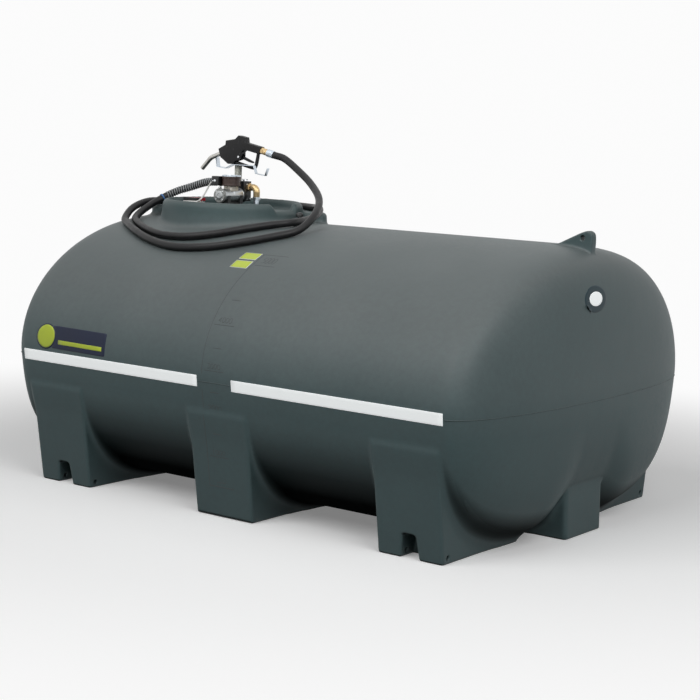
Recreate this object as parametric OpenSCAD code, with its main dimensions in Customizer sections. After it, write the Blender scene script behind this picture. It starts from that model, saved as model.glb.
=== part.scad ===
// Free-standing diesel storage tank: an oval moulded shell on moulded legs,
// with a raised well on top that holds the pump, the meter and the nozzle.
// X runs along the tank, -Y is the front and Z is up from the ground.

/* [Tank] */
// Overall length of the tank
tank_length = 2640; // [2200:10:3200]
// Overall width of the tank
tank_width = 1880; // [1600:10:2200]
// Height of the widest line above the ground
equator_height = 606; // [500:2:720]
// Rise from the widest line to the crown
crown_rise = 598; // [500:2:720]
// Gap between the belly and the ground
belly_clearance = 8; // [6:1:60]
// Narrowing of the sides from the widest line down to the belly
belly_narrowing = 75; // [0:5:120]
// Thickness of the moulded wall
wall = 10; // [6:1:14]
// Depth of each domed end
end_depth = 390; // [300:5:460]
// Distance over which the crown and the belly curve down to the tank's end
end_curve = 470; // [400:5:560]
// Distance over which the sides curve in to an end
corner_depth = 190; // [140:5:300]
// Squareness of the section above its widest line, where 2 is an ellipse
crown_power = 2.05; // [2:0.05:3]
// Squareness of the section below its widest line
belly_power = 3.2; // [2.4:0.05:3.6]

/* [Legs] */
// Distance from the tank's widest line in to the feet's outer edges
foot_inset = 93; // [40:1:200]
// Distance from the centre line to the feet's inner edges
foot_inner = 300; // [200:10:500]
// Distance from the tank's end in to a corner foot's outer edge
corner_foot_inset = 218; // [160:1:300]
// Length of a corner leg's foot along the tank
corner_leg_length = 302; // [240:2:330]
// Length of a middle leg's foot along the tank
middle_leg_length = 304; // [200:2:400]
// Width of an end leg's foot across the tank
end_leg_width = 304; // [200:2:400]
// Distance from the tank's end in to an end foot's outer edge
end_foot_inset = 68; // [40:1:100]
// Widening of each side of a leg up to its top
leg_draft = 6; // [0:1:25]
// Width of the strap notch in a corner leg
notch_width = 86; // [50:1:120]
// Height of the strap notch
notch_height = 100; // [60:1:140]
// Depth of the strap notch into the leg
notch_depth = 90; // [60:1:120]
// Radius of the tie-down bore through a corner leg
tie_bore_radius = 10; // [6:0.5:12]
// Height of the tie-down bore above the ground
tie_bore_height = 24; // [18:1:40]

/* [Lifting lugs] */
// Thickness of a lifting lug
lug_thickness = 40; // [25:1:60]
// Radius of the lifting hole
lug_hole_radius = 10; // [6:0.5:12]
// Height of a lug's tip above the crown
lug_rise = 68; // [50:1:90]

/* [Pump well] */
// Distance from the tank's left end to the well's centre
well_inset = 602; // [560:1:700]
// Outer radius of the well's rim
well_radius = 333; // [300:1:380]
// Thickness of the well's wall at the rim
well_wall = 36; // [24:1:50]
// Height of the rim above the crown
well_rise = 85; // [70:1:140]
// Depth of the lowered part of the rim
dip_depth = 33; // [15:1:50]
// Width of the lowered part of the rim
dip_width = 150; // [90:5:220]
// Outer radius of the hose shelf round the back of the well
shelf_radius = 450; // [410:5:480]
// Height of the hose shelf above the crown
shelf_rise = 37; // [25:1:70]
// Radius of the manway opening
manway_radius = 200; // [150:5:230]

/* [Markings] */
// Height of a reflective strip
strip_height = 47; // [30:1:60]
// Thickness of a reflective strip
strip_thickness = 1.2; // [0.8:0.1:3]
// Distance from the tank's end to the end of a reflective strip
strip_inset = 186; // [140:5:320]

/* [Pump set] */
// Radius of the pump motor
motor_radius = 32; // [26:1:40]
// Length of the pump motor
motor_length = 140; // [110:5:160]
// Radius of the flow meter
meter_radius = 45; // [36:1:55]
// Height of the flow meter's housing
meter_height = 45; // [30:1:60]
// Side of the nozzle post
post_side = 26; // [20:1:34]
// Radius of the delivery hose
hose_radius = 17; // [12:0.5:20]

/* [Hidden] */

// Facets round a bore and round a large turned piece
fine = 48;
// Segments round the oval section, outside and inside
outer_segments = 72;
inner_segments = 36;
// Steps from the rim to the tip of a domed end, outside and inside
outer_steps = 12;
inner_steps = 6;
// Running clearance under pieces that rest on a curved face
seat_gap = 0.3;
big = 4000;

half_length = tank_length / 2;
half_width = tank_width / 2;
half_barrel = half_length - end_depth;
belly_drop = equator_height - belly_clearance;
crown_height = equator_height + crown_rise;
foot_reach = half_width - foot_inset;
corner_leg_start = half_length - corner_foot_inset - corner_leg_length;
end_leg_reach = half_length - end_foot_inset;
strip_reach = half_length - strip_inset;
well_x = well_inset - half_length;
rim_height = crown_height + well_rise;
shelf_height = crown_height + shelf_rise;

function signed_power(v, p) = sign(v) * pow(abs(v), p);
// Narrowing left at a share of the way down from the widest line to the belly
function narrowed(depth_share) = 1 - belly_narrowing / half_width * depth_share;
// A point of the oval section at angle t, shrunk by the wall thickness t_in
function oval_point(t, t_in) = let (
    power = sin(t) > 0 ? crown_power : belly_power,
    rise = signed_power(sin(t), 2 / power)
) [
    (half_width - t_in) * signed_power(cos(t), 2 / power) * narrowed(max(0, -rise)),
    equator_height + rise * ((rise > 0 ? crown_rise : belly_drop) - t_in)
];
function oval(segments, t_in = 0) = [for (i = [0 : segments - 1]) oval_point(360 * i / segments, t_in)];

// What is left of the full width, crown rise and belly drop at a distance from the middle
corner_power = 2.22;
crown_end_power = 6;
belly_end_power = 3.7;
function left_after(x, depth, power) = let (u = min(1, max(0, (abs(x) - half_length) / depth + 1)))
    pow(1 - pow(u, power), 1 / power);
function width_left(x) = left_after(x, corner_depth, corner_power);
function rise_left(x) = left_after(x, end_curve, crown_end_power);
function drop_left(x) = left_after(x, end_curve, belly_end_power);

// How far along a domed end its step is, closer together towards the tip, and the ring
// of points there: the first is the barrel's own section
function dome_run(step, steps) = pow(sin(90 * step / steps), 0.6);
function dome_ring(step, steps, segments, t_in) = let (
    run = dome_run(step, steps),
    x = half_barrel + end_depth * run,
    at = step == 0 ? 0 : x
) [for (p = oval(segments, t_in)) [
    x - t_in * run,
    width_left(at) * p[0],
    equator_height + (p[1] > equator_height ? rise_left(at) : drop_left(at)) * (p[1] - equator_height)
]];

// Height of the tank's upper surface at a place
function top_height(x, y) = equator_height + crown_rise * rise_left(x) * pow(
    max(0, 1 - pow(abs(y) / (half_width * max(width_left(x), 0.01)), crown_power)),
    1 / crown_power
);

// Faces of a skin over rings of points, ring by ring, starting at point number first
function skin_faces(rings, segments, first) = [
    for (r = [0 : rings - 2], i = [0 : segments - 1])
        let (a = first + r * segments, j = (i + 1) % segments)
        [a + i, a + j, a + segments + j, a + segments + i]
];
function reversed(faces) = [for (f = faces) [for (i = [len(f) - 1 : -1 : 0]) f[i]]];

// A closed dome that fills the space of a domed end, up to the given step
module dome_solid(last_step = outer_steps - 1) {
    rings = [for (s = [0 : last_step]) dome_ring(s, outer_steps, outer_segments, 0)];
    count = len(rings);
    points = [for (ring = rings) each ring];
    caps = [
        [for (i = [outer_segments - 1 : -1 : 0]) i],
        [for (i = [0 : outer_segments - 1]) (count - 1) * outer_segments + i]
    ];
    polyhedron(points, concat(reversed(skin_faces(count, outer_segments, 0)), reversed(caps)));
}

// The filled outer form of the tank where a piece seats on it
module barrel_solid(reach = half_barrel) {
    rotate([90, 0, 90])
        linear_extrude(2 * reach, center = true)
            polygon(oval(outer_segments));
}

module tank_form(left = false, right = false, last_step = outer_steps - 1) {
    barrel_solid();
    if (right) dome_solid(last_step);
    if (left) mirror([1, 0, 0]) dome_solid(last_step);
}

module barrel() color("#4a5152")
    difference() {
        barrel_solid();
        rotate([90, 0, 90])
            linear_extrude(2 * half_barrel + 2, center = true)
                polygon(oval(outer_segments, wall));
        translate([well_x, 0, equator_height])
            cylinder(r = manway_radius, h = big, $fn = fine);
    }

// One shell: outer rings and inner rings closed at the rim and at the two tips
module domed_end() color("#4a5152") {
    outer = [for (s = [0 : outer_steps - 1]) each dome_ring(s, outer_steps, outer_segments, 0)];
    inner = [for (s = [0 : inner_steps - 1]) each dome_ring(s, inner_steps, inner_segments, wall)];
    outer_tip = len(outer);
    inner_first = outer_tip + 1;
    inner_tip = inner_first + len(inner);
    points = concat(
        outer, [[half_length, 0, equator_height]],
        inner, [[half_length - wall, 0, equator_height]]
    );
    last_outer = (outer_steps - 1) * outer_segments;
    last_inner = inner_first + (inner_steps - 1) * inner_segments;
    ratio = outer_segments / inner_segments;
    faces = concat(
        reversed(skin_faces(outer_steps, outer_segments, 0)),
        [for (i = [0 : outer_segments - 1])
            [outer_tip, last_outer + (i + 1) % outer_segments, last_outer + i]],
        skin_faces(inner_steps, inner_segments, inner_first),
        [for (i = [0 : inner_segments - 1])
            [last_inner + i, last_inner + (i + 1) % inner_segments, inner_tip]],
        [for (i = [0 : inner_segments - 1])
            let (j = (i + 1) % inner_segments)
            concat(
                [for (k = [0 : ratio]) (i * ratio + k) % outer_segments],
                [inner_first + j, inner_first + i]
            )]
    );
    polyhedron(points, faces);
}

// Half the oval's width at a depth below its widest line
function side_reach(depth) = half_width * narrowed(depth / belly_drop)
    * pow(1 - pow(depth / belly_drop, belly_power), 1 / belly_power);

// Outline of a leg from the side: a leaning outer face that runs into the oval
leg_outline = [
    [-foot_reach, 0],
    [-foot_reach - 45, 300],
    [-foot_reach - 82, 450],
    [-foot_reach - 50, 470],
    [-foot_inner, equator_height],
    [-foot_inner, 0]
];

module leg_block(start, length) {
    intersection() {
        translate([start - big / 2, 0, 0])
            rotate([90, 0, 90])
                linear_extrude(big)
                    polygon(leg_outline);
        rotate([90, 0, 0])
            linear_extrude(big)
                polygon([
                    [start, 0],
                    [start + length, 0],
                    [start + length + leg_draft, equator_height],
                    [start - leg_draft, equator_height]
                ]);
    }
}

// Half a notch's outline: a drafted side with a rounded top corner
notch_corner = 12;
notch_draft = 12;
function notch_half(side) = [
    [side * notch_width / 2, -1],
    for (a = [0 : 18 : 90]) [
        side * (notch_width / 2 - notch_draft - notch_corner * (1 - cos(a))),
        notch_height - notch_corner * (1 - sin(a))
    ]
];
function backwards(list) = [for (i = [len(list) - 1 : -1 : 0]) list[i]];

// A notch that narrows upwards, open at the bottom and at the outer face
module strap_notch()
    translate([corner_leg_start + corner_leg_length / 2, -foot_reach + notch_depth, 0])
        rotate([90, 0, 0])
            linear_extrude(2 * notch_depth)
                polygon(concat(notch_half(1), backwards(notch_half(-1))));

module corner_leg() color("#454c4d")
    difference() {
        leg_block(corner_leg_start, corner_leg_length);
        tank_form(right = true, last_step = 5);
        strap_notch();
        translate([corner_leg_start - 100, -foot_reach + 35, tie_bore_height])
            rotate([0, 90, 0])
                cylinder(r = tie_bore_radius, h = corner_leg_length + 200, $fn = fine);
    }

module middle_leg() color("#454c4d")
    difference() {
        leg_block(-middle_leg_length / 2, middle_leg_length);
        barrel_solid();
    }

module end_leg() color("#454c4d")
    difference() {
        intersection() {
            translate([0, big / 2, 0])
                rotate([90, 0, 0])
                    linear_extrude(big)
                        polygon([
                            [half_length - 320, 0],
                            [end_leg_reach, 0],
                            [half_length - 20, 237],
                            [half_length - 60, 262],
                            [half_length - 320, 262]
                        ]);
            rotate([90, 0, 90])
                linear_extrude(big)
                    polygon([
                        [-end_leg_width / 2, 0],
                        [end_leg_width / 2, 0],
                        [end_leg_width / 2 + leg_draft, equator_height],
                        [-end_leg_width / 2 - leg_draft, equator_height]
                    ]);
        }
        dome_solid();
    }

// A fin along the tank with a lifting hole, on the shoulder of an end
module lifting_lug() color("#454c4d")
    difference() {
        translate([0, lug_thickness / 2, 0])
            rotate([90, 0, 0])
                linear_extrude(lug_thickness)
                    polygon([
                        [half_length - 284, crown_height - 40],
                        [half_length - 278, crown_height - 8],
                        [half_length - 132, crown_height + lug_rise - 4],
                        [half_length - 112, crown_height + lug_rise],
                        [half_length - 95, crown_height + lug_rise - 12],
                        [half_length - 90, crown_height + lug_rise - 40],
                        [half_length - 100, crown_height - 90],
                        [half_length - 207, crown_height - 90]
                    ]);
        dome_solid(8);
        translate([half_length - 137, lug_thickness, crown_height + lug_rise - 33])
            rotate([90, 0, 0])
                cylinder(r = lug_hole_radius, h = 2 * lug_thickness, $fn = fine);
    }

// Outer radius of the collar's tapered wall at a height
collar_foot = crown_height - 90;
collar_shoulder = rim_height - well_wall / 2;
collar_flare = 18;
function collar_reach(height) = well_radius
    + collar_flare * (collar_shoulder - height) / (collar_shoulder - collar_foot);

// Outline of the hose shelf's section, from the given inner radii outwards, which leave
// a thin gap round the collar
shelf_foot = crown_height - 130;
function shelf_section(inner_foot, inner_top) = [
    [inner_foot + seat_gap, shelf_foot],
    [shelf_radius + 8, shelf_foot],
    [shelf_radius, shelf_height - 12],
    [shelf_radius - 12, shelf_height],
    [inner_top + seat_gap, shelf_height]
];

module well_collar() color("#454c4d")
    difference() {
        translate([well_x, 0, 0])
            rotate_extrude($fn = 96)
                union() {
                    polygon([
                        [well_radius - well_wall, collar_foot],
                        [collar_reach(collar_foot), collar_foot],
                        [well_radius, collar_shoulder],
                        [well_radius - well_wall, collar_shoulder]
                    ]);
                    translate([well_radius - well_wall / 2, collar_shoulder])
                        circle(well_wall / 2, $fn = 32);
                }
        tank_form(left = true, last_step = 5);
        translate([well_x, 0, rim_height])
            rotate([90, 0, 90])
                linear_extrude(big)
                    polygon([
                        [-dip_width / 2 - dip_depth / 2, 1],
                        [-dip_width / 2, -dip_depth],
                        [dip_width / 2, -dip_depth],
                        [dip_width / 2 + dip_depth / 2, 1]
                    ]);
    }

// Raised ledge round the back of the well, from its left side to its right rear
module hose_shelf() color("#454c4d")
    difference() {
        translate([well_x, 0, 0])
            rotate([0, 0, 30])
                rotate_extrude(angle = 165, $fn = 96)
                    polygon(shelf_section(collar_reach(shelf_foot), collar_reach(shelf_height)));
        tank_form(left = true, last_step = 5);
    }

// The left lug stops at the hose shelf
module left_lug() color("#454c4d")
    difference() {
        mirror([1, 0, 0])
            lifting_lug();
        translate([well_x, 0, 0])
            rotate_extrude($fn = 96)
                polygon(shelf_section(-seat_gap, -seat_gap));
    }

module manway_neck() color("#3c4243")
    difference() {
        translate([well_x, 0, crown_height - 40])
            cylinder(r = manway_radius + 26, h = lid_height - crown_height + 40, $fn = 96);
        tank_form(left = true, last_step = 2);
        translate([well_x, 0, crown_height - 60])
            cylinder(r = manway_radius, h = 100, $fn = 96);
    }

lid_height = crown_height + 5;
lid_thickness = 12;
module manway_lid() color("#262a2b")
    translate([well_x, 0, lid_height])
        rotate_extrude($fn = 96)
            polygon([
                [0, 0],
                [manway_radius + 32, 0],
                [manway_radius + 32, lid_thickness - 4],
                [manway_radius + 28, lid_thickness],
                [0, lid_thickness]
            ]);

module vent_cap() color("#16181a")
    difference() {
        translate([well_x + well_radius + 38, 45, crown_height - 20])
            rotate_extrude($fn = fine)
                polygon([
                    [0, 0],
                    [9, 0],
                    [9, 44],
                    [17.5, 44],
                    [17.5, 56],
                    [12, 64],
                    [0, 66]
                ]);
        barrel_solid();
    }

// The oval's widest line as a strip of tape, carried on onto the domed end
function step_point(s) = let (x = half_barrel + end_depth * dome_run(s, outer_steps))
    [x, half_width * width_left(x)];
function strip_edge(out, reach) = [
    for (s = [0 : outer_steps])
        let (
            here = step_point(s),
            next = step_point(s + 1),
            part = min(1, (reach - here[0]) / (next[0] - here[0]))
        )
        if (here[0] < reach)
            each [
                if (s == 0) here + [0, out],
                here + part * (next - here) + [0, out]
            ]
];
strip_start = 94;
strip_middle = equator_height - 20;
module strip(start) color("#e9ecec")
    translate([0, 0, strip_middle - strip_height / 2])
        linear_extrude(strip_height)
            polygon(concat(
                [[start, half_width]],
                strip_edge(0, strip_reach),
                [for (i = [len(strip_edge(0, strip_reach)) - 1 : -1 : 0])
                    strip_edge(strip_thickness, strip_reach)[i]],
                [[start, half_width + strip_thickness]]
            ));

// A round pipe from the origin along X that bends towards -Y, with a slightly thicker bend
bend_swell = 0.5;
bend_overlap = 2;
module bent_pipe(radius, first, bend, angle, second)
    union() {
        rotate([0, 90, 0])
            cylinder(r = radius, h = first + bend_overlap, $fn = fine);
        translate([first, -bend, 0])
            rotate([0, 0, 90 - angle])
                rotate_extrude(angle = angle, $fn = fine)
                    translate([bend, 0])
                        circle(radius + bend_swell, $fn = 32);
        translate([first + bend * sin(angle), bend * (cos(angle) - 1), 0])
            rotate([0, 0, -angle])
                translate([-bend_overlap, 0, 0])
                    rotate([0, 90, 0])
                        cylinder(r = radius, h = second + bend_overlap, $fn = fine);
    }

// Pump set, on a base over the manway lid
pump_x = well_x - 10;
base_height = lid_height + lid_thickness;
base_thickness = 6;
motor_height = base_height + 89;
motor_front = -80;
module pump_base() color("#8f9496")
    difference() {
        union() {
            translate([pump_x - 99, -100, base_height])
                cube([190, 240, base_thickness]);
            for (y = [motor_front + 15, motor_front + motor_length - 35])
                translate([pump_x - motor_radius, y, base_height + base_thickness])
                    cube([2 * motor_radius, 20, motor_height - base_height - base_thickness]);
        }
        translate([pump_x, -big / 2, motor_height])
            rotate([-90, 0, 0])
                cylinder(r = motor_radius, h = big, $fn = fine);
    }

module pump_motor() color("#9aa0a2")
    translate([pump_x, motor_front, motor_height])
        rotate([-90, 0, 0])
            cylinder(r = motor_radius, h = motor_length, $fn = fine);

module motor_cap() color("#a9adad")
    translate([pump_x, motor_front - 12, motor_height])
        rotate([-90, 0, 0])
            union() {
                cylinder(r = motor_radius + 1.5, h = 12, $fn = fine);
                translate([0, -motor_radius - 4, 0])
                    cylinder(r = 6, h = 12, $fn = fine);
            }

head_front = motor_front + motor_length;
head_width = 46;
head_depth = 56;
head_top = motor_height + 66;
module pump_head() color("#17191a")
    union() {
        translate([pump_x - head_width / 2, head_front, motor_height - 29])
            cube([head_width, head_depth, head_top - motor_height + 29]);
        translate([pump_x, head_front, motor_height])
            rotate([-90, 0, 0])
                cylinder(r = motor_radius + 5, h = 16, $fn = fine);
        translate([pump_x, head_front + 36, head_top])
            cylinder(r = 14, h = 10, $fn = fine);
    }

elbow_radius = 16;
elbow_run = 73;
elbow_y = head_front + 38;
elbow_z = motor_height + 38;
elbow_bend = 22;
module outlet_elbow() color("#b98d3c")
    translate([pump_x + head_width / 2, elbow_y, elbow_z])
        rotate([90, 0, 0])
            bent_pipe(elbow_radius, elbow_run - head_width / 2 - elbow_bend, elbow_bend, 90, 22);

module suction_pipe() color("#b8bec2")
    translate([pump_x + elbow_run, elbow_y, base_height + base_thickness])
        cylinder(r = 13, h = elbow_z - elbow_bend - 22 - base_height - base_thickness, $fn = fine);

meter_y = -5;
block_side = 50;
block_top = motor_height + 44;
module port_block() color("#c9c4b8")
    difference() {
        translate([pump_x - block_side / 2, meter_y - block_side / 2, motor_height + 8])
            cube([block_side, block_side, block_top - motor_height - 8]);
        translate([pump_x, -big / 2, motor_height])
            rotate([-90, 0, 0])
                cylinder(r = motor_radius, h = big, $fn = fine);
    }

module meter_body() color("#3a2c28")
    translate([pump_x, meter_y, block_top])
        cylinder(r = meter_radius, h = meter_height, $fn = 72);

module meter_bezel() color("#c3c7ca")
    translate([pump_x, meter_y, block_top + meter_height])
        difference() {
            cylinder(r = meter_radius + 1, h = 6, $fn = 72);
            translate([0, 0, 2])
                cylinder(r = meter_radius - 4, h = 6, $fn = 72);
        }

box_side = 42;
box_left = pump_x - meter_radius - box_side + 6;
module switch_box() color("#141617")
    difference() {
        translate([box_left, meter_y - 50, block_top])
            cube([box_side, 38, meter_height - 1]);
        translate([pump_x, meter_y, block_top - 1])
            cylinder(r = meter_radius, h = meter_height + 20, $fn = 72);
    }

outlet_y = 8;
outlet_z = block_top + 15;
outlet_end = pump_x - meter_radius - 39;
module hose_outlet() color("#1c1e20")
    difference() {
        translate([outlet_end, outlet_y, outlet_z])
            rotate([0, 90, 0])
                cylinder(r = hose_radius + 1, h = 60, $fn = fine);
        translate([pump_x, meter_y, block_top - 10])
            cylinder(r = meter_radius, h = meter_height + 20, $fn = 72);
    }

nozzle_y = 114;
post_x = pump_x - 59;
post_top = base_height + 230;
module nozzle_post() color("#a8a79b")
    translate([post_x - post_side / 2, nozzle_y - post_side / 2, base_height + base_thickness])
        cube([post_side, post_side, post_top - base_height - base_thickness]);

// A bent strap: its line in the XZ plane, given a thickness, and its width along Y
module bent_strap(line, thickness, start_y, width)
    translate([post_x, start_y + width, post_top])
        rotate([90, 0, 0])
            linear_extrude(width)
                polygon(concat(
                    line,
                    [for (i = [len(line) - 1 : -1 : 0]) line[i] + [0, thickness]]
                ));

// Two straps on the post: one under the spout, one in front of the hand guard
strap_thickness = 3;
module nozzle_holder() color("#c2c9ce")
    union() {
        bent_strap(
            [[-135, 28], [-128, -14], [-75, -20], [-30, 0], [0, 0]],
            strap_thickness, nozzle_y - 15, 30
        );
        bent_strap(
            [[-13, 0], [118, 0], [132, -36], [190, -44], [204, -10]],
            strap_thickness, nozzle_y - 32, 20
        );
    }

// The nozzle: its body in the XZ plane, measured from its seat on the holder
nozzle_base = post_top + strap_thickness + seat_gap;
nozzle_thickness = 34;
spout_drop = 20;
spout_seat = [-109.5, 49.5];
handle_tilt = 13;
handle_seat = [143, 71];
function above(seat, tilt, reach) = seat + reach * [sin(tilt), cos(tilt)];
nozzle_outline = [
    above(spout_seat, -spout_drop, 22), [-73, 92], [-71, 112], [-12, 121], [8, 139],
    [50, 131], [55, 106], above(handle_seat, handle_tilt, 17.5),
    above(handle_seat, handle_tilt, -17.5), [46, 72], [4, 42], [-20, 0], [-55, 0],
    [-95, 26], above(spout_seat, -spout_drop, -22)
];
// Hand guard: a bar loop from the body's foot to the end of the handle
guard_outline = [
    [-24, 6], [98, -20], [112, -14], [128, 58], [119, 60], [104, -6], [95, -12], [-20, 14]
];
// Two cheeks that hold the lever's pin
cheek_outline = [[-14, 14], [8, 20], [24, 26], [30, 40], [30, 66], [-4, 60]];
pivot = [12, 36];
pin_radius = 3;
lever_slot = 20;
module nozzle_plate(thickness, outline)
    translate([post_x, nozzle_y + thickness / 2, nozzle_base])
        rotate([90, 0, 0])
            linear_extrude(thickness)
                polygon(outline);
module at_pivot(length)
    translate([post_x + pivot[0], nozzle_y - length / 2, nozzle_base + pivot[1]])
        rotate([-90, 0, 0])
            children();

module nozzle_body() color("#191a1c")
    union() {
        difference() {
            union() {
                nozzle_plate(nozzle_thickness, nozzle_outline);
                nozzle_plate(nozzle_thickness, cheek_outline);
            }
            nozzle_plate(lever_slot, [[-2, 22], [8, 10], [40, 10], [60, 40], [34, 50], [12, 50], [0, 44]]);
        }
        nozzle_plate(14, guard_outline);
        at_pivot(nozzle_thickness - 2)
            cylinder(r = pin_radius, h = nozzle_thickness - 2, $fn = fine);
    }

spout_radius = 11;
module nozzle_spout() color("#a9aeb2")
    translate([post_x + spout_seat[0], nozzle_y, nozzle_base + spout_seat[1]])
        mirror([1, 0, 0])
            rotate([90, 0, 0])
                rotate([0, 0, -spout_drop])
                    bent_pipe(spout_radius, 58, 60, 25, 64);

// The trigger lever turns on the pin, with a small clearance round it
lever_thickness = 10;
eye_radius = 8;
module nozzle_lever() color("#202224")
    difference() {
        union() {
            nozzle_plate(lever_thickness, [
                [12, 44], [28, 42], [94, 17], [97, 13], [94, 9], [70, 13], [22, 29], [12, 28]
            ]);
            at_pivot(lever_thickness)
                cylinder(r = eye_radius, h = lever_thickness, $fn = fine);
        }
        at_pivot(lever_thickness + 2)
            cylinder(r = pin_radius + 0.4, h = lever_thickness + 2, $fn = fine);
    }

// The swivel and ferrule lie on the handle's axis
function handle_axis(start) = [
    post_x + handle_seat[0] + start * cos(handle_tilt),
    nozzle_y,
    nozzle_base + handle_seat[1] - start * sin(handle_tilt)
];
module on_handle_axis(start)
    translate(handle_axis(start))
        rotate([0, 90 + handle_tilt, 0])
            children();
swivel_length = 40;
ferrule_length = 38;
module hose_swivel() color("#b98d3c")
    on_handle_axis(0)
        cylinder(r = 16, h = swivel_length, $fn = fine);
module hose_ferrule() color("#c9cdd0")
    on_handle_axis(swivel_length)
        cylinder(r = hose_radius + 1.5, h = ferrule_length, $fn = fine);

// A tube swept along points, with flat closed ends
function tangent(path, i) = let (
    a = path[max(0, i - 1)],
    b = path[min(len(path) - 1, i + 1)]
) (b - a) / norm(b - a);
function ring_at(path, i, radius, sides) = let (
    t = tangent(path, i),
    side = cross(t, [0, 0, 1]) / norm(cross(t, [0, 0, 1])),
    up = cross(side, t)
) [for (k = [0 : sides - 1]) path[i] + radius * (cos(360 * k / sides) * side + sin(360 * k / sides) * up)];
module tube(path, radius, sides) {
    points = [for (i = [0 : len(path) - 1]) each ring_at(path, i, radius, sides)];
    last = (len(path) - 1) * sides;
    faces = concat(
        skin_faces(len(path), sides, 0),
        [
            [for (k = [sides - 1 : -1 : 0]) k],
            [for (k = [0 : sides - 1]) last + k]
        ]
    );
    polyhedron(points, faces);
}
// Extra points halfway along a smooth curve through the given ones
function smooth(path) = [
    for (i = [0 : len(path) - 2])
        let (
            a = path[max(0, i - 1)], b = path[i],
            c = path[i + 1], d = path[min(len(path) - 1, i + 2)]
        )
        each [b, (9 * (b + c) - a - d) / 16],
    path[len(path) - 1]
];

// A hose point that rests on the tank, at a place measured from the well's centre
function on_tank(dx, y, lift) = let (
    x = well_x + dx,
    slope = norm([1, top_height(x + 1, y) - top_height(x, y), top_height(x, y + 1) - top_height(x, y)])
) [x, y, top_height(x, y) + hose_radius * slope + lift];
// A hose point that rests on the shelf, at an angle round the well
shelf_track = (collar_reach(shelf_height) + shelf_radius) / 2;
function on_shelf(angle, out, lift) = [
    well_x + (shelf_track + out) * cos(angle),
    (shelf_track + out) * sin(angle),
    shelf_height + hose_radius + lift
];
// Route of the delivery hose between its straight ends at the meter and at the nozzle
hose_stub = 12;
ferrule_end = swivel_length + ferrule_length;
hose_route = [
    [outlet_end - hose_stub, outlet_y, outlet_z],
    [outlet_end - 85, outlet_y - 4, outlet_z - 6],
    on_tank(-257, -14, 116), on_tank(-321, -55, 91), on_tank(-364, -130, 54), on_tank(-366, -230, 21),
    on_tank(-339, -312, 1.4), on_tank(-270, -375, 1.4), on_tank(-151, -444, 1.4), on_tank(-10, -492, 1.3),
    on_tank(139, -492, 1.4), on_tank(267, -439, 1.4), on_tank(358, -351, 1.4), on_tank(430, -254, 1.4),
    on_tank(495, -168, 3.2), on_tank(455, 20, 5.2), on_tank(413, 140, 39),
    on_shelf(38.6, 17, 6), on_shelf(55.7, 10, 0.6), on_shelf(73.8, -1, 0.6), on_shelf(92.9, -14, 0.6),
    on_shelf(114.5, -29, 0.6), on_shelf(137.3, -30, 0.6), on_shelf(159.9, -19, 0.6), on_shelf(180.7, 4, 1),
    on_shelf(198.3, 43, 4),
    on_tank(-414, -250, 36), on_tank(-375, -346, 5), on_tank(-300, -405, 1.3), on_tank(-169, -485, 1.3),
    on_tank(-17, -550, 1.3), on_tank(151, -585, 1.4), on_tank(322, -566, 1.3), on_tank(467, -505, 1.5),
    on_tank(580, -415, 1.5), on_tank(647, -313, 6), on_tank(645, -195, 52), on_tank(559, -55, 103),
    on_tank(427, 50, 166), on_tank(303, 98, 230),
    handle_axis(ferrule_end + 68), handle_axis(ferrule_end + hose_stub)
];
hose_path = concat([[outlet_end, outlet_y, outlet_z]], smooth(hose_route), [handle_axis(ferrule_end)]);
module delivery_hose() color("#1b1c1e") tube(hose_path, hose_radius, 8);

// Route of the battery lead, from the switch box down to its coil on the lid
lead_radius = 4;
coil_x = well_x - 184;
coil_y = -75;
coil_mean = 44;
coil_outer = coil_mean + 2 * lead_radius;
coil_height = 56;
lead_route = [
    [box_left, meter_y - 31, block_top + 17],
    [box_left - 6, meter_y - 31, block_top + 17],
    [box_left - 13, meter_y - 34, block_top + 14],
    [box_left - 21, meter_y - 39, block_top + 3],
    [box_left - 28, coil_y + 21, block_top - 21],
    [coil_x + coil_outer + 9, coil_y + 11, block_top - 51],
    [coil_x + coil_outer + 6, coil_y + 3, base_height + 54],
    [coil_x + coil_outer + lead_radius, coil_y, base_height + 30]
];
module battery_lead() color("#e6e6e2") tube(lead_route, lead_radius, 8);
module lead_coil() color("#e6e6e2")
    translate([coil_x, coil_y, base_height])
        rotate_extrude($fn = fine)
            translate([coil_mean - 2 * lead_radius, 0])
                square([4 * lead_radius, coil_height]);

// A battery clamp lying flat: handles at one end, jaws at the other
module battery_clamp()
    translate([coil_x, coil_y, base_height + coil_height])
        linear_extrude(14)
            polygon([
                [48, -11], [48, -3], [12, 0], [48, 3], [48, 11], [10, 9],
                [-20, 10], [-46, 4], [-46, -4], [-20, -10], [10, -9]
            ]);
module clamp_red() color("#b3202c") translate([4, 14, 0]) battery_clamp();
module clamp_black() color("#17181a") translate([-4, -14, 0]) battery_clamp();

barrel();
mirror([1, 0, 0]) domed_end();  // end_left
domed_end();  // end_right
mirror([1, 0, 0]) corner_leg();  // leg_front_left
corner_leg();  // leg_front_right
rotate([0, 0, 180]) corner_leg();  // leg_rear_left
mirror([0, 1, 0]) corner_leg();  // leg_rear_right
middle_leg();  // leg_front_middle
mirror([0, 1, 0]) middle_leg();  // leg_rear_middle
mirror([1, 0, 0]) end_leg();  // leg_end_left
end_leg();  // leg_end_right
left_lug();  // lifting_lug_left
lifting_lug();  // lifting_lug_right
well_collar();
hose_shelf();
manway_neck();
manway_lid();
vent_cap();
rotate([0, 0, 180]) strip(strip_start);  // strip_front_left
mirror([0, 1, 0]) strip(strip_start);  // strip_front_right
mirror([1, 0, 0]) strip(strip_start);  // strip_rear_left
strip(strip_start);  // strip_rear_right
pump_base();
pump_motor();
motor_cap();
pump_head();
outlet_elbow();
suction_pipe();
port_block();
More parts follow.
